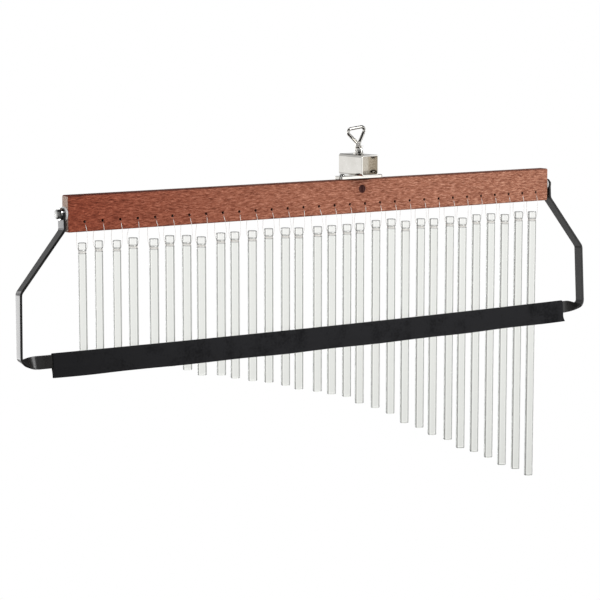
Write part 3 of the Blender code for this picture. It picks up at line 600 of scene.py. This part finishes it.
def make_thread():
    """Clear nylon line: hidden near its hole as painted shade, white against the wood, faint before a pale
    room.

    Its cover is a ramp over the distance below the holes, which all lie at one height.
    """
    material, tree, shader = shader_nodes("clear_nylon")
    handled(shader, (0.94, 0.88, 0.83), (1.0, 0.95, 0.91), 0.22, 0.15, 2500.0, 0.01 * MM)
    bore = joints["rod_01_swing"]["pos_m"][2]
    edge = (bore - bar_low[2]) / THREAD_FADE
    below = share_between(axes_of(place_on(tree))["Z"], bore, bore - THREAD_FADE)
    # Painted shade: just below its hole the line is made nearly clear, so the hole's shade shows through.
    cover = ramp(below, ((0.15, 0.05), (0.23, 1.0), (edge, 1.0), (edge + 0.02, 0.45)))
    fill(shader, {"Alpha": cover, "IOR": 1.53})
    return material


def make_felt():
    """Black wool felt: matted fibres in two sizes, darker to the left, with a soft sheen."""
    material, tree, shader = shader_nodes("black_felt")
    place = place_on(tree)
    matted = noise(place, 420.0, 6.0, 0.75)
    shade = number_math("ADD", matted, noise(place, 45.0, 3.0))
    colour = ramp(shade, ((0.72, (0.008, 0.008, 0.009)), (1.0, (0.020, 0.020, 0.022))))
    # Darker towards the left end.
    along = share_between(axes_of(place)["X"], cloth_low.x, cloth_high.x)
    darker_left = ramp(along, ((0.0, 0.60), (0.30, 0.92), (0.6, 1.0)))
    fill(shader, {"Base Color": multiply(tree, colour, darker_left), "Roughness": 0.92})
    fill(shader, {"Specular IOR Level": 0.1, "Sheen Weight": 0.02, "Sheen Roughness": 0.5})
    raised(shader, matted, 0.35 * MM, 0.8)
    return material


def make_black_steel():
    """Satin black paint on steel, duller where the twists at both ends have worked it."""
    material = plain_finish(
        "satin_black_steel", (0.008, 0.008, 0.008), (0.018, 0.017, 0.016), 0.15, 0.08, 1400.0, 0.0, 0.0
    )
    tree = material.node_tree
    roughness = tree.nodes["Principled BSDF"].inputs["Roughness"]
    low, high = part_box("damper_bracket")
    along = share_between(axes_of(place_on(tree))["X"], low.x, high.x)
    left_twist = ((0.008, 0.0), (0.014, 0.27), (0.030, 0.30), (0.050, 0.0))
    right_twist = ((0.950, 0.0), (0.970, 0.30), (0.990, 0.0))
    twists = ramp(along, left_twist + right_twist)
    worked = number_math("MAXIMUM", roughness.links[0].from_socket, twists)
    tree.links.new(worked, roughness)
    return material


WOOD = make_wood()
GLASS = make_glass()
NYLON_LINE = make_thread()
FELT = make_felt()
BLACK_STEEL = make_black_steel()
DULL_BORE = plain_finish("dull_bore", (0.50, 0.455, 0.385), (0.62, 0.57, 0.49), 0.13, 0.08, 500.0, 0.0, 1.0)
NICKEL = plain_finish("bright_nickel", (0.72, 0.70, 0.655), (0.82, 0.80, 0.76), 0.06, 0.05, 700.0, 0.0, 1.0)
DULL_ZINC = plain_finish("dull_zinc", (0.24, 0.24, 0.235), (0.34, 0.34, 0.33), 0.30, 0.10, 900.0, 0.0, 1.0)
ZINC = plain_finish("zinc_plate", (0.56, 0.56, 0.55), (0.72, 0.72, 0.70), 0.16, 0.10, 900.0, 0.0, 1.0)
# White nylon with its colour painted grey, for the shade that the spacers sit in.
WHITE_NYLON_PAINTED_GREY = plain_finish(
    "white_nylon", (0.52, 0.52, 0.52), (0.62, 0.62, 0.61), 0.42, 0.12, 1200.0, 0.01 * MM, 0.0
)
BRASS = plain_finish(
    "turned_brass", (0.52, 0.36, 0.13), (0.68, 0.50, 0.22), 0.28, 0.15, 900.0, 0.006 * MM, 1.0
)
DARK_PLATE = plain_finish(
    "oil_black_steel", (0.050, 0.016, 0.014), (0.095, 0.034, 0.030), 0.45, 0.2, 900.0, 0.01 * MM, 0.0, 0.1
)


# Wooden bar

def cylinder_points(place, axis, radius, half_length, sides=24):
    """A plain round cutter centred on a place."""
    return stood_on(turned(both_ways([(radius, half_length)]), sides), place, axis)


def flared_hole(place):
    """A thread hole through the bar whose mouths open out: the radius grows over the last stretch."""
    mouth = [
        (THREAD_HOLE + 3 * HOLE_FLARE, bar_face + 2 * HOLE_FLARE),
        (THREAD_HOLE + HOLE_FLARE, bar_face),
        (THREAD_HOLE, bar_face - 2 * HOLE_FLARE),
    ]
    return stood_on(turned(both_ways(mouth), 20), place, "Y")


def rounded_bar(edge, steps=3):
    """A block with rounded edges: outlines in Y and Z that draw in along X by the arc of the edge."""
    turn = np.linspace(0.0, pi / 2, steps + 1)
    inset = edge * (1 - np.sin(turn))
    reach = bar_half - edge * (1 - np.cos(turn))
    outlines = []
    for draw in (*inset, *inset[::-1]):
        depth, height = 2 * (bar_halves[1:] - draw)
        outlines.append(rounded_rectangle(depth, height, max(edge - draw, 0.05 * MM)))
    return stacked(outlines, (*-reach, *reach[::-1]), "X") + bar_middle


def make_bar():
    """The bar with its thread holes, cross bore and pivot bores."""
    bar = surface("bar_wood", rounded_bar(BAR_EDGE), WOOD)
    cutters = []
    for name, joint in joints.items():
        if name.startswith("rod_"):
            cutters.append(flared_hole(joint["pos_m"]))
    _, _, middle, half = node_box("barrel_nut")
    cutters.append(cylinder_points(middle, "Y", half[0] + BARREL_BORE_GAP, 2 * bar_face, 32))
    for side in ("left", "right"):
        _, _, middle, half = node_box(f"pivot_insert_{side}")
        cutters.append(cylinder_points(middle, "X", half[1] + BORE_GAP, half[0] + INSERT_BORE_END))
    drill(bar, cutters)
    return stands_for(bar, "wooden_bar", "bar")


# Rods and threads

def rod_facts(number):
    """Axis, top, bottom and radius of a glass rod, read from its solid below the bar."""
    points = vectors_of(frame["nodes"][f"glass_rod_{number:02d}"].data.vertices, "co")
    bottom = points[:, 2].min()
    end = points[points[:, 2] < bottom + 20 * MM]
    x = (end[:, 0].min() + end[:, 0].max()) / 2
    radius = max(np.ptp(end[:, 1]) / 2, np.ptp(end[:, 0]) / 2)
    near = np.hypot(points[:, 0] - x, points[:, 1]) < 0.97 * radius
    top = points[near & (points[:, 2] < bar_low[2])][:, 2].max()
    return x, top, bottom, radius


def rod_profile(radius, length):
    """Half outline of a rod from top to bottom: quarter-round ends and a groove under the head."""
    turn = np.linspace(0.0, pi / 2, 7)
    quarter = np.stack([np.sin(turn) - 1, np.cos(turn) - 1], axis=-1)
    upper = ROD_END * quarter + (radius, 0.0)
    lower = ROD_FOOT * quarter[::-1] * (1, -1) + (radius, -length)
    share = np.linspace(0.0, 1.0, 15)
    hollow = NECK_DEPTH * np.sqrt(1 - (2 * share - 1) ** 8)
    groove = np.stack([radius - hollow, -HEAD - NECK * share], axis=-1)
    inner = np.array([[0.5 * radius, 0.0]])
    return np.vstack([inner, upper, groove, lower, inner + (0.0, -length)])


def make_rod(number):
    """One glass rod: its half outline turned about Z."""
    x, top, bottom, radius = rod_facts(number)
    points = stood_on(turned(rod_profile(radius, top - bottom), 40), (x, 0.0, top))
    rod = surface(f"rod_{number:02d}", points, GLASS)
    share = (top - vectors_of(rod.data.vertices, "co")[:, 2]) / PAINTED_TONE_STRETCH
    rod.data.attributes.new("below_top", "FLOAT", "POINT").data.foreach_set("value", share)
    return stands_for(rod, f"glass_rod_{number:02d}", f"rod_{number:02d}")


def strand_points(hole, x, top, radius, side):
    """One strand of a hanging loop, from the middle of its hole to the rod's neck.

    The front strand, side -1, comes down the bar's face, leaves its lower edge to the right and passes the
    head there. The back strand is the same turned half round the line that the rod hangs on.
    """
    face = bar_face + THREAD + 0.1 * MM
    below = bar_low[2] - hole[2] - THREAD
    lip = THREAD - 0.93 * THREAD_HOLE
    beside = radius + THREAD + THREAD_BOW
    neck = radius - NECK_DEPTH + THREAD
    neck_level = top - hole[2] - HEAD - WRAP_FROM * NECK
    lean = np.array([0.0, 0.0, 0.0, 0.2, 0.5, 1.0, 1.0]) * (x - hole[0])
    right = [0.0, 0.0, 0.3 * MM, 1.0 * MM, 1.9 * MM, beside * cos(STRAND_TURN), neck * cos(NECK_TURN)]
    front = [beside * sin(STRAND_TURN), neck * sin(NECK_TURN)]
    forward = [0.0, 0.6 * MM - bar_face, -face, -face, -face, *front]
    level = np.array([lip, lip, lip - 1.2 * MM, below / 2, below, top - hole[2] - 1 * MM, neck_level])
    across = hole[0] + lean - side * np.array(right)
    return np.stack([across, -side * np.array(forward), hole[2] + level], axis=-1)


def neck_wraps(x, top, radius):
    """Turns of thread in the groove: a helix that starts where the front strand arrives."""
    count = 112
    turn = NECK_TURN + np.linspace(0.0, 2 * pi * THREAD_WRAPS, count)
    around = radius - NECK_DEPTH + 1.05 * THREAD
    level = top - HEAD - NECK * np.linspace(WRAP_FROM, WRAP_TO, count)
    return about_z(around, turn, level) + (x, 0.0, 0.0)


def make_thread_loop(number):
    """A loop of clear line through the bar, down both sides of the head and wound round the neck."""
    x, top, _, radius = rod_facts(number)
    hole = np.array(joints[f"rod_{number:02d}_swing"]["pos_m"], float)
    front = strand_points(hole, x, top, radius, -1)
    back = strand_points(hole, x, top, radius, 1)
    hanging = smooth_through(np.vstack([back[::-1], front[1:]]), 120)
    path = np.vstack([hanging[:-1], neck_wraps(x, top, radius)])
    loop = surface(f"thread_{number:02d}", wire_points(path, THREAD, 8), NYLON_LINE)
    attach(loop, f"rod_{number:02d}")
    return loop


# Damper

def leaned(points):
    """Points in the damper's own upright plane, turned by its lean and moved to the pivot."""
    x, y, z = points[..., 0], points[..., 1], points[..., 2]
    turned_y = y * cos(damper_lean) + z * sin(damper_lean)
    turned_z = z * cos(damper_lean) - y * sin(damper_lean)
    return np.stack([x, turned_y, turned_z], axis=-1) + pivot


def bowed(x, reach):
    """Sag of the straight stretch: a parabola, deepest at the middle."""
    return -STRIP_BOW * (1 - np.clip(np.abs(x) / reach, 0.0, 1.0) ** 2)


def half_strip(reach, flare, arm_turn, twist_length):
    """One half of the strip from its tab to the middle: places, two directions across it and width shares.

    The tab's round top narrows as a half circle. The width lies along Y down the arm, but for the arm's own
    small turn between its bend and its corner. The twist turns it evenly by a quarter, to stand along Z in
    the straight stretch, and widens the strip by the same share.
    """
    arm = bar_half + reach - STRIP_THICKNESS / 2
    foot = arm + flare
    tab = bar_half + tab_offset
    steps = 9
    rise = STRIP_WIDTH / 2 * np.cos(np.linspace(0.12, pi / 2, steps))
    top = np.stack([np.full(steps, tab), np.zeros(steps), rise], axis=-1)
    corners = [
        (tab, 0.0, 0.0),
        (tab, 0.0, -TAB_DROP),
        (arm, 0.0, -ARM_BEND_DROP),
        (foot, 0.0, -CORNER_DROP),
        (foot - CORNER_BEND, 0.0, -CORNER_DROP),
    ]
    bends = rounded_path(corners, (STRIP_BEND, STRIP_BEND, CORNER_BEND), steps)[1:-1]
    twist_to = foot - twist_length
    twist_x = np.linspace(bends[-1, 0], twist_to, 17)[1:]
    inward = np.concatenate([twist_x, np.linspace(twist_to, 0.0, 25)[1:]])
    drop = np.interp(inward, (twist_to, bends[-1, 0]), (DAMPER_DROP, CORNER_DROP))
    level = np.stack([inward, np.zeros_like(inward), bowed(inward, twist_to) - drop], axis=-1)
    path = np.vstack([top, bends, level])
    share = np.ones(len(path))
    share[:steps] = np.sqrt(np.maximum(1 - (2 * rise / STRIP_WIDTH) ** 2, 0.0))
    turned_share = np.clip((foot - path[:, 0]) / twist_length, 0.0, 1.0)
    turned_share = np.where(path[:, 2] < CORNER_BEND - CORNER_DROP, turned_share, 0.0)
    past_bend = (-path[:, 2] - ARM_BEND_DROP) / (2 * STRIP_BEND) + 0.5
    before_corner = (path[:, 2] + CORNER_DROP) / CORNER_BEND
    arm_share = np.clip(np.minimum(past_bend, before_corner), 0.0, 1.0)
    turn = -arm_turn * arm_share - pi / 2 * turned_share
    share += turned_share * (BAR_STRIP_WIDTH / STRIP_WIDTH - 1)
    tangent = unit(np.gradient(path, axis=0))
    flat = unit(np.array([0.0, 1.0, 0.0]) - tangent * tangent[:, 1:2])
    upright = np.cross(tangent, flat)
    across = flat * np.cos(turn)[:, None] + upright * np.sin(turn)[:, None]
    return path, across, np.cross(tangent, across), share


def strip_sections(arm):
    """Rounded rectangles carried along one half of the strip."""
    path, across, through, share = half_strip(*arm)
    section = rounded_rectangle(STRIP_WIDTH, STRIP_THICKNESS, STRIP_EDGE, 3)
    wide = across[:, None] * section[None, :, :1] * share[:, None, None]
    return path[:, None] + wide + through[:, None] * section[None, :, 1:]


def make_strip():
    """The black steel strip: two unequal halves joined at the middle, drilled for the pivot bolts."""
    right = strip_sections(RIGHT_ARM)
    left = strip_sections(LEFT_ARM) * (-1, 1, 1)
    strip = surface("damper_strip", leaned(np.vstack([right, left[::-1][1:]])), BLACK_STEEL)
    bores = []
    for sign in (-1, 1):
        place = pivot + (sign * (bar_half + tab_offset), 0.0, 0.0)
        bores.append(cylinder_points(place, "X", BOLT_SHANK + BORE_GAP, 3 * STRIP_THICKNESS))
    drill(strip, bores)
    return stands_for(strip, "damper_bracket", "damper")


def felt_outline():
    """Middle line of the folded felt across the strip, from the front hem over the top to the back hem."""
    side = STRIP_THICKNESS / 2 + FELT_GAP + FELT_THICKNESS / 2
    shoulder = BAR_STRIP_WIDTH / 2 - side + FELT_GAP + FELT_THICKNESS / 2
    hem = -BAR_STRIP_WIDTH / 2 - FELT_HEM
    turn = np.linspace(pi, 0.0, 13)
    fold = np.stack([side * np.cos(turn), shoulder + side * np.sin(turn)], axis=-1)
    drop = np.linspace(0.0, 1.0, 22)[1:]
    level = shoulder + (hem - shoulder) * drop
    below = np.clip((-BAR_STRIP_WIDTH / 2 - level) / FELT_HEM, 0.0, 1.0)
    drawn = side - (side - 0.56 * FELT_THICKNESS) * below * (2 - below)
    back = np.stack([drawn, level], axis=-1)
    return np.vstack([back[::-1] * (-1, 1), fold, back])


def make_felt_cover():
    """The felt: its folded outline carried along the strip, with a slow waviness that grows towards the hem.

    The waviness is a sum of sines along X, times the square of the way down to the hem.
    """
    outline = felt_outline()
    length = 2 * (bar_half + FELT_OVERHANG)
    x = np.linspace(-length / 2, length / 2, 181)
    grid_x, grid_y = np.meshgrid(x, outline[:, 0], indexing="ij")
    grid_z = np.broadcast_to(outline[:, 1], grid_x.shape)
    slack = np.clip((BAR_STRIP_WIDTH / 2 - grid_z) / (BAR_STRIP_WIDTH + FELT_HEM), 0.0, 1.0) ** 2
    wander = np.sin(31.0 * grid_x + 0.6) + 0.6 * np.sin(74.0 * grid_x + 2.1) + 0.4 * np.sin(139.0 * grid_x)
    swing = FELT_SWING * slack * wander
    hem_line = HEM_WAVE * slack * np.sin(52.0 * grid_x + 1.3)
    sag = bowed(grid_x, length / 2)
    slant = FELT_SLANT * slack**2 * np.clip(2 * grid_x / length, 0.0, 1.0) ** 8
    points = np.stack([grid_x + slant, grid_y + swing, grid_z + sag + hem_line - DAMPER_DROP], axis=-1)
    faces, _ = grid_faces(*points.shape[:2], False, False)
    felt = piece_from("damper_felt", leaned(points).reshape(-1, 3), faces, FELT)
    thick = felt.modifiers.new("thickness", "SOLIDIFY")
    thick.thickness = FELT_THICKNESS
    thick.offset = 0.0
    stands_for(felt, "damper_cloth", "damper")
    return felt


# Fasteners

def make_ring(name, node, material, edge):
    """A washer or spacer the size of its solid: a chamfered outline turned about the damper's axis."""
    _, _, middle, (half, outer, _) = node_box(node)
    inner = BOLT_SHANK + BORE_GAP
    upper = [(inner, half - edge), (inner + edge, half), (outer - edge, half), (outer, half - edge)]
    points = stood_on(turned(both_ways(upper), 48), middle, "X")
    return stands_for(surface(name, points, material, rows_close=True), node, "bar")


def hexagon_head(flats, height, sides=72):
    """A chamfered, low-domed hexagon head: at each height the smaller of a hexagon's and a cone's radius.

    The hexagon's radius at an angle a is half its flats over the cosine of a's distance to the nearest flat.
    """
    angle = full_turn(sides)
    off_flat = np.mod(angle + pi / 6, pi / 3) - pi / 6
    hexagon = flats / 2 / np.cos(off_flat)
    cone = flats * np.array(HEAD_CONE)[:, None]
    return about_z(np.minimum(hexagon, cone), angle, height * np.array(HEAD_LEVELS)[:, None])


def make_pivot_bolt(side, sign):
    """Hexagon bolt: head outside, a plain shank through washer, strip and spacer into the insert."""
    node = f"pivot_bolt_{side}"
    _, _, middle, half = node_box(node)
    _, _, washer, washer_half = node_box(f"pivot_washer_{side}")
    seat = washer[0] + sign * (washer_half[0] + SEAT_GAP)
    head_height = abs(middle[0] + sign * half[0] - seat)
    shank_end = head_height - 2 * half[0]
    head = hexagon_head(2 * min(half[1:]), head_height)
    tip = [(BOLT_SHANK - 0.4 * MM, shank_end), (BOLT_SHANK, shank_end + 0.5 * MM), (BOLT_SHANK, 0.0)]
    shank = turned(tip, head.shape[1])
    points = stood_on(np.vstack([shank, head]), (seat, middle[1], middle[2]), "X" if sign > 0 else "-X")
    return stands_for(surface(f"pivot_screw_{side}", points, DULL_ZINC), node, "bar")


def domed_profile(radius, height, steps=8):
    """Quarter ellipse from near the pole of a dome down to its rim."""
    turn = np.linspace(0.12, pi / 2, steps)
    return np.stack([radius * np.sin(turn), height * np.cos(turn)], axis=-1)


def cross_slot(place, reach, width, depth):
    """Two bars of a cross recess, as cutters."""
    cutters = []
    for size in ((reach, width), (width, reach)):
        outline = rounded_rectangle(*size, 0.2 * width, 2)
        cutters.append(stacked((outline, outline), (-depth, depth), "Z") + np.asarray(place))
    return cutters


def make_round_head(name, node, under, shank, taper, tip, recess, sides):
    """Screw with a cross recess: quarter ellipse of the head, shank and taper, turned about Z."""
    low, high, (x, y, _), half = node_box(node)
    seat = under + SEAT_GAP
    end = low[2] - seat
    head = domed_profile(half[0], high[2] - seat)
    profile = np.vstack([head, [(shank, 0.0), (shank, end + taper), (tip, end)]])
    screw = surface(name, stood_on(turned(profile, sides), (x, y, seat)), ZINC)
    drill(screw, cross_slot((x, y, high[2]), *recess))
    return stands_for(screw, node, "bar")


def make_barrel_nut():
    """Blackened cross dowel: a chamfered outline turned about Y, with a driver slot and the bolt's hole."""
    _, _, middle, (radius, _, _) = node_box("barrel_nut")
    radius = radius + 0.25 * MM
    half = bar_face - SEAT_GAP
    edge = 0.3 * MM
    profile = both_ways([(radius - edge, half), (radius, half - edge)])
    nut = surface("cross_dowel", stood_on(turned(profile, 40), middle, "Y"), DARK_PLATE)
    outline = rounded_rectangle(1.2 * MM, 1.6 * radius, 0.2 * MM, 2)
    slot = stacked((outline, outline), (-half - 1 * MM, -half + 1 * MM), "Y") + middle
    drill(nut, [slot, cylinder_points(middle, "Z", BOLT_HOLE, 2 * radius)])
    return stands_for(nut, "barrel_nut", "bar")


# Stand clamp

def make_plate():
    """Nickel plate: round-cornered outlines stacked along Z and drawn in at its edges, then drilled."""
    low, high, _, half = node_box("clamp_plate")
    outlines = []
    for inset in (PLATE_EDGE, 0.0, 0.0, PLATE_EDGE):
        width, depth = 2 * (half[:2] - inset)
        outlines.append(rounded_rectangle(width, depth, PLATE_CORNER - inset, 8))
    levels = (low[2], low[2] + PLATE_EDGE, high[2] - PLATE_EDGE, high[2])
    plate = surface("stand_plate", stacked(outlines, levels, "Z"), NICKEL)
    cutters = [cylinder_points((0.0, 0.0, low[2]), "Z", BOLT_HOLE, 6 * half[2])]
    for side in ("left", "right"):
        place = (node_box(f"plate_screw_{side}")[2][0], 0.0, low[2])
        cutters.append(cylinder_points(place, "Z", SCREW_HOLE, 6 * half[2]))
    drill(plate, cutters)
    return stands_for(plate, "clamp_plate", "bar")


def make_tube():
    """Square tube along Y: round-cornered outlines out along its skin and back along its bore."""
    low, high, middle, (side, half, _) = node_box("clamp_tube")
    side = 2 * side
    bore = side - 2 * TUBE_WALL
    chamfered = side - 2 * TUBE_EDGE
    opened = bore + 2 * TUBE_EDGE
    within = half - TUBE_EDGE
    widths = (chamfered, side, side, chamfered, opened, bore, bore, opened)
    levels = (-half, -within, within, half, half, within, -within, -half)
    outlines = []
    for width in widths:
        corner = max(TUBE_CORNER - (side - width) / 2, 0.9 * MM)
        outlines.append(rounded_rectangle(width, width, corner, 8))
    tube = surface("stand_tube", stacked(outlines, levels, "Y") + middle, NICKEL, rows_close=True)
    holes = []
    for level in (low[2], high[2]):
        holes.append(cylinder_points((0.0, 0.0, level), "Z", BOLT_HOLE, 2 * TUBE_WALL))
    drill(tube, holes)
    tube.data.materials.append(DULL_BORE)
    away = np.abs(vectors_of(tube.data.polygons, "center") - middle)
    inside = np.maximum(away[:, 0], away[:, 2]) < bore / 2 + 0.05 * MM
    tube.data.polygons.foreach_set("material_index", inside.astype(np.int32))
    return stands_for(tube, "clamp_tube", "bar")


def make_clamp_nut():
    """Flanged hexagon nut: a low round flange under a chamfered hexagon, bored for the screw."""
    low, _, _, (flange, _, half) = node_box("clamp_nut")
    height = 2 * half + NUT_RISE
    sides = 72
    hexagon = hexagon_head(NUT_FLATS, height - NUT_FLANGE, sides)[2:8] + (0.0, 0.0, NUT_FLANGE)
    foot = [(flange - 0.3 * MM, 0.0), (flange, 0.25 * MM)]
    rim = foot + [(flange, 0.75 * MM), (flange - 1.2 * MM, NUT_FLANGE)]
    bore = turned([(BOLT_HOLE, height), (BOLT_HOLE, 0.0)], sides)
    points = stood_on(np.vstack([turned(rim, sides), hexagon, bore]), (0.0, 0.0, low[2]))
    return stands_for(surface("stand_nut", points, NICKEL, rows_close=True), "clamp_nut", "bar")


def make_clamp_screw():
    """Screw with a round collar, and below it a helical ridge of radius r - d |2 frac(z/p - a) - 1|."""
    low, high, _, half = node_box("clamp_screw")
    collar = half[0] + 0.8 * MM
    collar_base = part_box("clamp_nut")[1].z + NUT_RISE + BORE_GAP
    sides = 48
    rim = [
        (0.4 * collar, high[2]),
        (collar - COLLAR_EDGE, high[2]),
        (collar - 0.3 * COLLAR_EDGE, high[2] - 0.3 * COLLAR_EDGE),
        (collar, high[2] - COLLAR_EDGE),
        (collar, collar_base + COLLAR_EDGE),
        (collar - COLLAR_EDGE, collar_base),
        (CLAMP_SHANK, collar_base),
    ]
    level = np.linspace(collar_base - 0.2 * MM, low[2] + 0.5 * MM, 100)[:, None]
    angle = full_turn(sides)
    phase = np.mod(level / CLAMP_PITCH - angle / (2 * pi), 1.0)
    thread = about_z(CLAMP_SHANK - CLAMP_THREAD * np.abs(2 * phase - 1), angle, level)
    tip = turned([(CLAMP_SHANK - 0.6 * MM, low[2]), (0.4 * CLAMP_SHANK, low[2])], sides)
    screw = surface("stand_screw", np.vstack([turned(rim, sides), thread, tip]), NICKEL)
    return stands_for(screw, "clamp_screw", "clamp_screw")


def make_thumb_loop():
    """Bent wire: up from the collar, out to a low left corner, across to a higher right one and back."""
    foot = node_box("thumb_loop")[0][2]
    corners = [
        (-2.4 * MM, 0.0, foot),
        (-2.4 * MM, 0.0, foot + 2 * WIRE),
        (-18.8 * MM, 0.0, foot + 17.2 * MM),
        (10.0 * MM, 0.0, foot + 20.6 * MM),
        (1.0 * MM, 0.0, foot + 2 * WIRE),
        (1.0 * MM, 0.0, foot),
    ]
    path = rounded_path(corners, (WIRE, 2 * WIRE, 2 * WIRE, WIRE), 10)
    loop = surface("thumb_wire", wire_points(path, WIRE, 20), NICKEL)
    return stands_for(loop, "thumb_loop", "thumb_loop")


def make_object():
    """Every piece of the chime."""
    make_bar()
    for number in range(1, 31):
        make_rod(number)
        make_thread_loop(number)
    make_strip()
    make_felt_cover()
    plate_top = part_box("clamp_plate")[1].z
    tube_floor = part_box("clamp_tube")[0].z + TUBE_WALL
    for side, sign in (("left", -1), ("right", 1)):
        make_ring(f"pivot_ring_{side}", f"pivot_washer_{side}", ZINC, WASHER_EDGE)
        make_ring(f"nylon_ring_{side}", f"spacer_washer_{side}", WHITE_NYLON_PAINTED_GREY, 2 * WASHER_EDGE)
        make_pivot_bolt(side, sign)
        make_round_head(f"plate_fixing_{side}", f"plate_screw_{side}", plate_top, *PLATE_SCREW)
        insert = frame["nodes"][f"pivot_insert_{side}"]
        insert.data.materials.clear()
        insert.data.materials.append(BRASS)
    make_round_head("floor_bolt", "centre_bolt", tube_floor, *FLOOR_BOLT)
    make_barrel_nut()
    make_plate()
    make_tube()
    make_clamp_nut()
    make_clamp_screw()
    make_thumb_loop()


# Studio

def make_floor():
    """A wide round floor well below the hanging rods: pale where the shadow falls, white towards its rim.

    Rings of points (r cos a, r sin a) at a few radii. The share of white grows with the distance from the
    middle, and only what sees the floor directly or through glass gets it.
    """
    low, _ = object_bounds()
    rings = about_z(np.linspace(0.1, FLOOR_RADIUS, 8)[:, None], full_turn(64), low.z - FLOOR_DROP)
    faces, index = grid_faces(*rings.shape[:2], False, True)
    faces.append(index[0].tolist())
    material, tree, shader = shader_nodes("pale_floor")
    pale = (0.92, 0.92, 0.92, 1.0)
    fill(shader, {"Base Color": pale, "Roughness": 0.9, "Specular IOR Level": 0.0})
    distance = vector_math("LENGTH", vector_math("MULTIPLY", place_on(tree), (1.0, 1.0, 0.0)))
    rim = share_between(distance, 0.3 * FLOOR_RADIUS, 0.95 * FLOOR_RADIUS, "SMOOTHSTEP")
    rays = add_node(tree, "ShaderNodeLightPath").outputs
    seen = number_math("MAXIMUM", rays["Is Camera Ray"], rays["Is Transmission Ray"])
    share = number_math("MULTIPLY", seen, rim)
    white = add_node(tree, "ShaderNodeEmission", {"Color": (1.0, 1.0, 1.0, 1.0), "Strength": 1.0})
    mix = add_node(tree, "ShaderNodeMixShader", {0: share, 1: shader.outputs[0], 2: white.outputs[0]})
    fill(tree.nodes["Material Output"], {"Surface": mix.outputs[0]})
    floor = piece_from("floor", rings.reshape(-1, 3), faces, material)
    floor.visible_glossy = False


def make_world():
    """White to the camera. Metal and glass see a white backdrop between dark gaps and soft boxes.

    The room's light is a ramp over the heading away from the camera's own, in degrees to the right, times a
    ramp over height. Everything else is lit evenly.
    """
    world = bpy.data.worlds.new("studio")
    bpy.context.scene.world = world
    world.use_nodes = True
    tree = world.node_tree
    tree.nodes.clear()
    place = add_node(tree, "ShaderNodeTexCoord").outputs["Generated"]
    yaw = radians(CAMERA_YAW)
    ahead = vector_math("DOT_PRODUCT", place, (sin(yaw), cos(yaw), 0.0))
    right = vector_math("DOT_PRODUCT", place, (cos(yaw), -sin(yaw), 0.0))
    heading = share_between(number_math("ARCTAN2", right, ahead), -pi, pi)
    rise = share_between(axes_of(place)["Z"], -1.0, 1.0)
    rays = add_node(tree, "ShaderNodeLightPath").outputs

    def round_about(walls):
        return ramp(heading, [(right_of / 360 + 0.5, grey) for right_of, grey in walls])

    def upward(levels):
        return ramp(rise, [(level / 2 + 0.5, grey) for level, grey in levels])

    def room(colour, strength=1.0):
        return add_node(tree, "ShaderNodeBackground", {"Color": colour, "Strength": strength}).outputs[0]

    def where(ray, otherwise, shown):
        return add_node(tree, "ShaderNodeMixShader", {0: rays[ray], 1: otherwise, 2: shown}).outputs[0]

    white = (1.0, 1.0, 1.0, 1.0)
    walled = blend(tree, upward(CEILING_LEVELS), round_about(MIRRORED_WALLS), round_about(MIRRORED_CEILING))
    tented = blend(tree, upward(GROUND_LEVELS), walled, round_about(MIRRORED_GROUND))
    mirrored = multiply(tree, tented, upward(MIRRORED_LEVELS))
    through = multiply(tree, round_about(GLASS_WALLS), upward(GLASS_LEVELS))
    lit = where("Is Glossy Ray", room(white, EVEN_LIGHT), room(mirrored))
    passed = where("Is Transmission Ray", lit, room(through))
    shown = where("Is Camera Ray", passed, room(white))
    add_node(tree, "ShaderNodeOutputWorld", {"Surface": shown})


def add_lamp(name, place, width, height, watts):
    """A soft box that faces the middle of the chime."""
    lamp = bpy.data.lights.new(name, "AREA")
    lamp.shape = "RECTANGLE"
    lamp.size = width
    lamp.size_y = height
    lamp.energy = watts
    item = put_in_scene(name, lamp)
    item.location = place
    direction = np.subtract(LIT_PLACE, place)
    yaw = atan2(direction[1], direction[0]) - pi / 2
    pitch = atan2(hypot(direction[0], direction[1]), -direction[2])
    item.rotation_euler = (pitch, 0.0, yaw)
    item.visible_camera = False


def make_studio():
    """Floor, world, two soft boxes and the camera."""
    make_floor()
    make_world()
    add_lamp("key", (0.9, -2.2, 1.9), 1.6, 1.2, 42.0)
    add_lamp("fill", (-2.6, -1.4, 0.9), 1.4, 1.6, 16.0)
    camera = bpy.data.cameras.new("camera")
    camera.lens = CAMERA_LENS
    camera.sensor_width = SENSOR_WIDTH
    camera.clip_end = FARTHEST_SEEN
    holder = put_in_scene("camera", camera)
    holder.location = CAMERA_PLACE
    holder.rotation_euler = (radians(90.0 - CAMERA_PITCH), 0.0, -radians(CAMERA_YAW))
    scene = bpy.context.scene
    scene.camera = holder
    scene.view_settings.view_transform = "Standard"


make_object()
make_studio()
